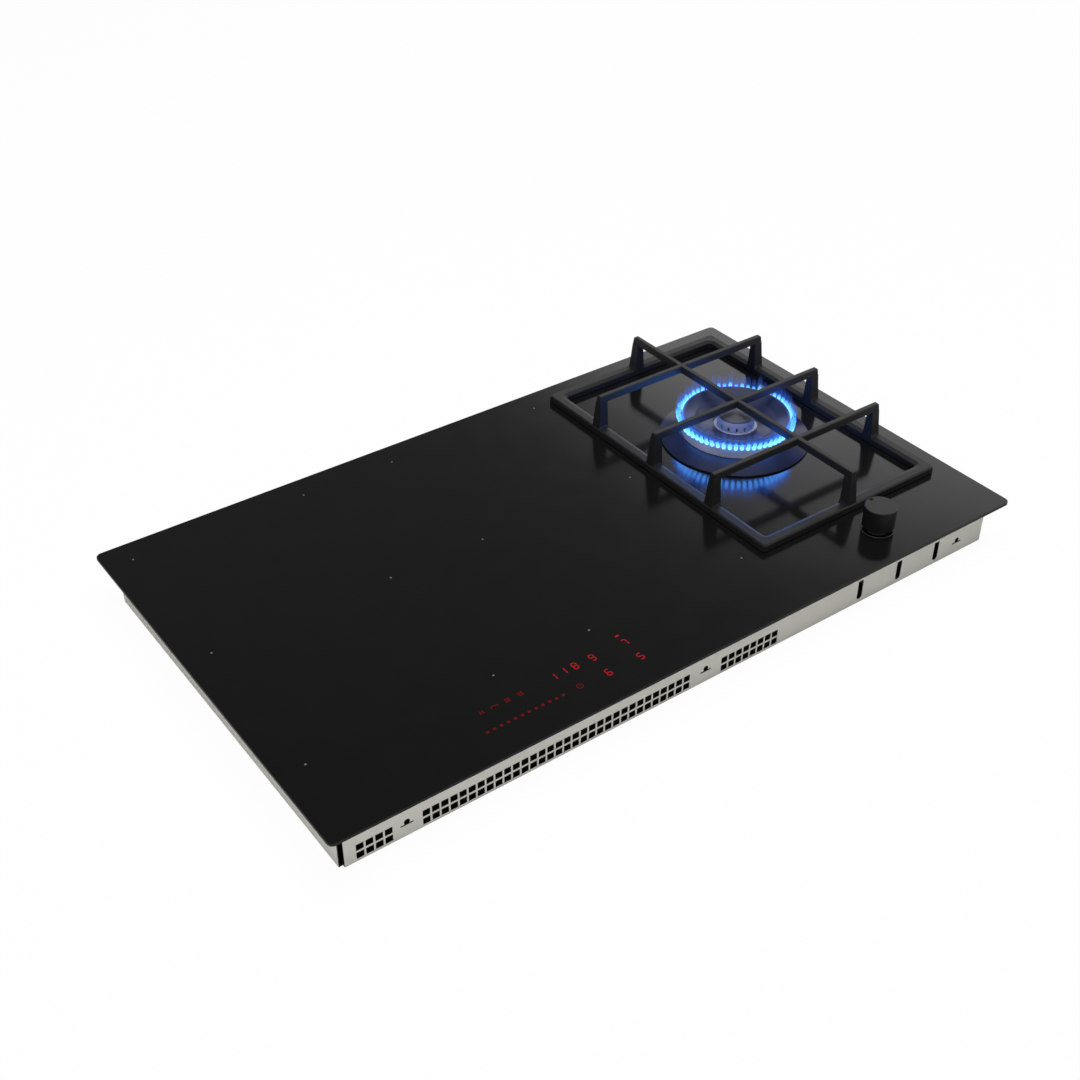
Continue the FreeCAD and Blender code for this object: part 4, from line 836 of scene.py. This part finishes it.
@dataclass
class ZoneDots:
    """Printed dots at the corners and sides of the induction zones, in columns and rows in millimetres."""

    columns: tuple[float, ...] = (-418.7, -207.0, -87.2, 123.7)
    rows: tuple[float, ...] = (229.0, 35.0, -160.8)
    radius: float = 1.1 * MM
    skin: float = 0.04 * MM
    sides: int = 20

    def tree(self) -> NodeTree:
        """Build the tree that prints a dot on every point.

        Returns:
            The geometry tree.
        """
        kit = GeometryTree("zone dots", {"Radius": "Float", "Skin": "Float"})
        disc = kit.add("GeometryNodeMeshCylinder", {
            "Vertices": self.sides, "Radius": kit.input("Radius"), "Depth": kit.input("Skin")})
        dots = kit.add("GeometryNodeInstanceOnPoints",
                       {"Points": kit.input("Geometry"), "Instance": disc.outputs["Mesh"]})
        return kit.finish(dots.outputs["Instances"])

    def build(self) -> list[Object]:
        """Print the dots.

        Returns:
            One piece with all dots, alone in a list.
        """
        start = bpy.data.meshes.new("zone_points")
        middle = GLASS_TOP + self.skin / 2
        start.from_pydata([(x * MM, y * MM, middle) for x in self.columns for y in self.rows], [], [])
        dots = grown("zone_dots", self.tree(), {"Radius": self.radius, "Skin": self.skin,
                                                "Material": ZONE_PRINT.build()}, start)
        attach(dots, "hob")
        return [dots]


# The knob's painted highlight ring and mark

@dataclass
class KnobHighlightAndMark:
    """Fine bright ring on the glass round the knob, a painted highlight for the knob's lower edge and its
    reflection, and dark paint over the mark on its top.
    """

    line_height: float = 0.45 * MM
    line_width: float = 0.8 * MM
    line_reach: float = 0.5 * MM
    paint: float = 0.04 * MM
    mark_width: float = 4.0 * MM
    mark_length: float = 3.8 * MM
    mark_inset: float = 1.6 * MM
    steps: int = 96

    def line(self, middle: Flat, radius: float) -> Object:
        """Turn the ring that paints the highlight.

        Args:
            middle: the knob's centre.
            radius: the line's outer radius.

        Returns:
            A thin ring that lies on the glass.
        """
        shape = bmesh.new()
        inner, top = radius - self.line_width, GLASS_TOP + self.line_height
        section = [(inner, GLASS_TOP), (radius, GLASS_TOP), (radius - self.line_height, top), (inner, top)]
        rings = []
        for i in range(self.steps):
            turn = math.tau * i / self.steps
            rings.append([shape.verts.new((middle[0] + r * math.cos(turn), middle[1] + r * math.sin(turn), z))
                          for r, z in section])
        for i, ring in enumerate(rings):
            after = rings[(i + 1) % self.steps]
            for k in range(len(section)):
                j = (k + 1) % len(section)
                shape.faces.new((ring[k], after[k], after[j], ring[j]))
        bmesh.ops.recalc_face_normals(shape, faces=shape.faces)
        mesh = bpy.data.meshes.new("knob_highlight_ring")
        shape.to_mesh(mesh)
        shape.free()
        return new_object("knob_highlight_ring", mesh)

    def build(self) -> list[Object]:
        """Make the painted highlight ring and the mark's paint.

        Returns:
            The painted highlight ring, which stays on the glass, and the paint, which turns with the knob.
        """
        low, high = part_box("knob")
        middle = ((low.x + high.x) / 2, (low.y + high.y) / 2)
        radius = (high.x - low.x) / 2
        line = self.line(middle, radius + self.line_reach)
        dress(line, KNOB_HIGHLIGHT.build())
        far = middle[1] + radius - self.mark_inset
        half = self.mark_width / 2
        outline = [(middle[0] - half, far - self.mark_length), (middle[0] + half, far - self.mark_length),
                   (middle[0] + half, far), (middle[0] - half, far)]
        mark = plates("knob_mark", [outline], high.z, high.z + self.paint)
        dress(mark, MARK_PAINT.build())
        for piece, body in ((line, "hob"), (mark, "knob_set")):
            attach(piece, body)
        return [line, mark]


# The spring inside the valve

@dataclass
class ValveSpring:
    """Wound spring under the spindle's collar, which rides with the valve core."""

    wire: float = 0.65 * MM
    turns: float = 5.0
    steps: int = 24
    sides: int = 10

    def tree(self) -> NodeTree:
        """Build the tree that winds a wire up from a point.

        Returns:
            The geometry tree.
        """
        kit = GeometryTree("wound spring", {
            "Turns": "Float", "Radius": "Float", "Rise": "Float", "Wire": "Float", "Foot": "Vector"})
        path = kit.add("GeometryNodeCurveSpiral", {
            "Resolution": self.steps, "Rotations": kit.input("Turns"), "Start Radius": kit.input("Radius"),
            "End Radius": kit.input("Radius"), "Height": kit.input("Rise")})
        section = kit.add("GeometryNodeCurvePrimitiveCircle",
                          {"Resolution": self.sides, "Radius": kit.input("Wire")})
        coil = kit.add("GeometryNodeCurveToMesh", {
            "Curve": path.outputs["Curve"], "Profile Curve": section.outputs["Curve"], "Fill Caps": True})
        placed = kit.add("GeometryNodeTransform",
                         {"Geometry": coil.outputs["Mesh"], "Translation": kit.input("Foot")})
        return kit.finish(placed.outputs["Geometry"])

    def build(self) -> list[Object]:
        """Wind the spring in the place of its plain sleeve.

        Returns:
            The spring, alone in a list.
        """
        low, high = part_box("valve_spring")
        x, y = (low.x + high.x) / 2, (low.y + high.y) / 2
        length = high.z - low.z
        coil = grown("valve_coil", self.tree(), {
            "Turns": self.turns, "Radius": (high.x - low.x) / 2 - self.wire, "Rise": length - 2 * self.wire,
            "Wire": self.wire, "Foot": (x, y, low.z + self.wire), "Material": FINISHES["zinc_steel"].build()})
        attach(coil, "valve_core")
        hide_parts("valve_spring")
        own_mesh(coil)
        return [coil]


# The carried-over solids

class Solids:
    """Finishes of the pieces that keep their own shape."""

    def __init__(self) -> None:
        """Build one material for each slot."""
        self.materials = {slot: finish.build() for slot, finish in FINISHES.items()}
        # the caps get lit copies of the enamel, with painted flame light and painted reflection
        self.own = {node: finish.build() for node, finish in LIT_ENAMEL_COPIES.items()}

    def dress(self) -> int:
        """Give every solid the finish of its slot, or the caps their lit copy of the enamel.

        Returns:
            How many solids were dressed.
        """
        for row in frame["record"]["subparts"]:
            node = row["node"]
            dress(frame["nodes"][node], self.own.get(node) or self.materials[row["material_slot"]])
        return len(frame["record"]["subparts"])


# Studio

def fade(tree: NodeTree, value: NodeSocket, dark: float, light: float) -> NodeSocket:
    """Soft step from 0 to 1.

    Args:
        tree: the tree to add to.
        value: what is stepped.
        dark: the value that gives 0.
        light: the value that gives 1.

    Returns:
        The step's output.
    """
    soft = tree.nodes.new("ShaderNodeMapRange")
    soft.interpolation_type = "SMOOTHSTEP"
    soft.inputs["From Min"].default_value = dark
    soft.inputs["From Max"].default_value = light
    tree.links.new(value, soft.inputs["Value"])
    return soft.outputs[0]


@dataclass(frozen=True)
class SoftLamp:
    """A soft square lamp, which gloss doesn't show."""

    name: str
    place: Point
    aim: Point
    power: float
    colour: Colour
    size: float = 1.8

    def hang(self) -> None:
        """Hang the lamp in its place, facing its aim."""
        data = bpy.data.lights.new(self.name, "AREA")
        data.size = self.size
        data.energy = self.power
        data.color = self.colour
        made = bpy.data.objects.new(self.name, data)
        made.location = self.place
        made.rotation_euler = (Vector(self.aim) - Vector(self.place)).to_track_quat("-Z", "Y").to_euler()
        made.visible_glossy = False
        bpy.context.scene.collection.objects.link(made)


@dataclass(frozen=True)
class FlameGlow:
    """A ring of small blue lamps among the flames, at a height above the glass."""

    name: str
    radius: float
    height: float
    power: float
    count: int = 12
    colour: Colour = (0.06, 0.22, 1.0)
    softness: float = 8.0 * MM

    def hang(self) -> None:
        """Set the lamps round the burner."""
        for i in range(self.count):
            turn = math.tau * (i + 0.5) / self.count
            name = f"{self.name}_{i}"
            data = bpy.data.lights.new(name, "POINT")
            data.energy = self.power
            data.color = self.colour
            data.shadow_soft_size = self.softness
            made = bpy.data.objects.new(name, data)
            made.visible_glossy = False
            made.location = (BURNER_X + self.radius * math.cos(turn), BURNER_Y + self.radius * math.sin(turn),
                             GLASS_TOP + self.height)
            bpy.context.scene.collection.objects.link(made)


LAMPS: tuple[SoftLamp | FlameGlow, ...] = (
    SoftLamp("overhead", (0.1, -0.2, 2.6), (0.1, 0.0, 0.0), 80.0, (1.0, 0.99, 0.97)),
    SoftLamp("left", (-3.4, -2.9, 1.0), (0.0, -0.1, 0.0), 122.0, (1.0, 0.99, 0.98)),
    SoftLamp("rear", (3.4, 2.8, 1.0), (0.0, 0.1, 0.0), 70.0, (1.0, 0.99, 0.98)),
    FlameGlow("flame_glow_high", 71.0 * MM, 44.0 * MM, 0.036),
    FlameGlow("flame_glow_low", 86.0 * MM, 20.0 * MM, 0.006),
)


@dataclass(frozen=True)
class Sky:
    """Even light all round, a white backdrop for the camera, and panels that only gloss shows.

    Each pair gives the value that is dark and the value that is fully lit. Bearings are in degrees from
    the rear towards the right, and levels are the upward share of the direction.
    """

    even_light: float = 0.07
    backdrop_light: float = 1.25
    dark_light: float = 0.09
    wall_light: float = 1.65
    wall_start: Flat = (35.0, 45.0)
    wall_end: Flat = (150.0, 110.0)
    wall_top: Flat = (0.62, 0.485)
    wall_lean: float = 1.67
    lean_level: float = 0.515
    front_light: float = 0.05
    front_fade: Flat = (0.1, -0.8)
    low_light: float = 0.06
    low_fade: Flat = (0.75, 0.54)
    high_light: float = 0.6
    high_fade: Flat = (0.82, 0.92)

    def panels(self, tree: NodeTree) -> NodeSocket:
        """Add up the white wall to the right and the faint panels in front, low down and overhead.

        Args:
            tree: the world's tree.

        Returns:
            The strength that gloss shows.
        """
        spot = tree.nodes.new("ShaderNodeTexCoord")
        split = tree.nodes.new("ShaderNodeSeparateXYZ")
        tree.links.new(spot.outputs["Generated"], split.inputs[0])
        level = split.outputs["Z"]
        bearing = math_node(tree, "ARCTAN2", split.outputs["X"], split.outputs["Y"])
        raised = math_node(tree, "SUBTRACT", level, self.lean_level)
        leaning = math_node(tree, "SUBTRACT", bearing, math_node(tree, "MULTIPLY", raised, self.wall_lean))
        wall = math_node(tree, "MULTIPLY", fade(tree, leaning, *map(math.radians, self.wall_start)),
                         fade(tree, bearing, *map(math.radians, self.wall_end)))
        wall = math_node(tree, "MULTIPLY", wall, fade(tree, level, *self.wall_top))
        total: NodeSocket | float = self.dark_light
        for share, light in ((wall, self.wall_light),
                             (fade(tree, split.outputs["Y"], *self.front_fade), self.front_light),
                             (fade(tree, level, *self.low_fade), self.low_light),
                             (fade(tree, level, *self.high_fade), self.high_light)):
            total = math_node(tree, "ADD", math_node(tree, "MULTIPLY", share, light), total)
        return total

    def build(self) -> None:
        """Make the world."""
        world = bpy.data.worlds.new("studio")
        bpy.context.scene.world = world
        world.use_nodes = True
        tree = world.node_tree
        tree.nodes.clear()
        path = tree.nodes.new("ShaderNodeLightPath")
        mirrored = math_node(tree, "MAXIMUM", path.outputs["Is Glossy Ray"],
                             path.outputs["Is Transmission Ray"])
        room = tree.nodes.new("ShaderNodeMix")
        tree.links.new(mirrored, room.inputs["Factor"])
        room.inputs["A"].default_value = self.even_light
        tree.links.new(self.panels(tree), room.inputs["B"])
        seen = tree.nodes.new("ShaderNodeMix")
        tree.links.new(path.outputs["Is Camera Ray"], seen.inputs["Factor"])
        tree.links.new(room.outputs[0], seen.inputs["A"])
        seen.inputs["B"].default_value = self.backdrop_light
        light = tree.nodes.new("ShaderNodeBackground")
        tree.links.new(seen.outputs[0], light.inputs["Strength"])
        out = tree.nodes.new("ShaderNodeOutputWorld")
        tree.links.new(light.outputs[0], out.inputs["Surface"])


@dataclass
class Studio:
    """White floor, soft lamps and the camera.

    The eye is measured from the middle of the glass, the angles are in degrees, and the lens and its
    sensor are in millimetres.
    """

    eye: Point = (-0.82883, -1.09749, 0.99243)
    yaw: float = 35.94
    pitch: float = 36.307
    lens: float = 50.03
    sensor: float = 36.0
    view_depth: float = 100.0
    floor_size: float = 30.0
    floor_drop: float = 0.5 * MM
    floor_shade: Colour = (0.70, 0.70, 0.70)
    floor_mirrored: float = 0.3
    floor_share: float = 0.97

    def camera(self) -> None:
        """Set the camera where the view was taken from."""
        data = bpy.data.cameras.new("camera")
        data.lens = self.lens
        data.sensor_width = self.sensor
        data.sensor_fit = "HORIZONTAL"
        data.clip_end = self.view_depth
        made = bpy.data.objects.new("camera", data)
        made.location = (self.eye[0], self.eye[1], self.eye[2] + GLASS_TOP)
        made.rotation_euler = (math.radians(90.0 - self.pitch), 0.0, math.radians(-self.yaw))
        bpy.context.scene.collection.objects.link(made)
        bpy.context.scene.camera = made

    def floor_white(self) -> Material:
        """Make the floor's white, which the camera sees pale and which keeps a faint shadow.

        Returns:
            The floor's material.
        """
        material = bpy.data.materials.new("floor_white")
        material.use_nodes = True
        tree = material.node_tree
        shader = tree.nodes["Principled BSDF"]
        shader.inputs["Base Color"].default_value = (*self.floor_shade, 1.0)
        shader.inputs["Roughness"].default_value = 1.0
        shader.inputs["Specular IOR Level"].default_value = 0.0
        white = tree.nodes.new("ShaderNodeEmission")
        white.inputs["Color"].default_value = (1.0, 1.0, 1.0, 1.0)
        path = tree.nodes.new("ShaderNodeLightPath")
        seen = math_node(tree, "MAXIMUM", path.outputs["Is Camera Ray"], path.outputs["Is Transmission Ray"])
        glow = math_node(tree, "MULTIPLY", seen, 1.0 - self.floor_mirrored)
        tree.links.new(math_node(tree, "ADD", glow, self.floor_mirrored), white.inputs["Strength"])
        shown = math_node(tree, "MAXIMUM", seen, path.outputs["Is Glossy Ray"])
        mix = tree.nodes.new("ShaderNodeMixShader")
        tree.links.new(math_node(tree, "MULTIPLY", shown, self.floor_share), mix.inputs["Fac"])
        tree.links.new(shader.outputs[0], mix.inputs[1])
        tree.links.new(white.outputs[0], mix.inputs[2])
        tree.links.new(mix.outputs[0], tree.nodes["Material Output"].inputs["Surface"])
        return material

    def floor(self) -> None:
        """Lay the floor just under the casing."""
        half, level = self.floor_size / 2, -self.floor_drop
        mesh = bpy.data.meshes.new("floor")
        corners = [(-half, -half, level), (half, -half, level), (half, half, level), (-half, half, level)]
        mesh.from_pydata(corners, [], [(0, 1, 2, 3)])
        made = new_object("floor", mesh)
        dress(made, self.floor_white())

    def build(self) -> None:
        """Set up floor, light and camera."""
        self.camera()
        self.floor()
        Sky().build()
        for lamp in LAMPS:
            lamp.hang()
        bpy.context.scene.view_settings.view_transform = "Standard"


def main() -> None:
    """Build the hob's looks piece by piece."""
    logging.basicConfig(level=logging.INFO)
    Studio().build()
    LOG.info("dressed %d solids", Solids().dress())
    for maker in (FlameRing(), Readout(), KnobHighlightAndMark(), ZoneDots(), ValveSpring()):
        for piece in maker.build():
            LOG.info("built %s with %d faces", piece.name, len(piece.data.polygons))


if __name__ == "__main__":
    main()
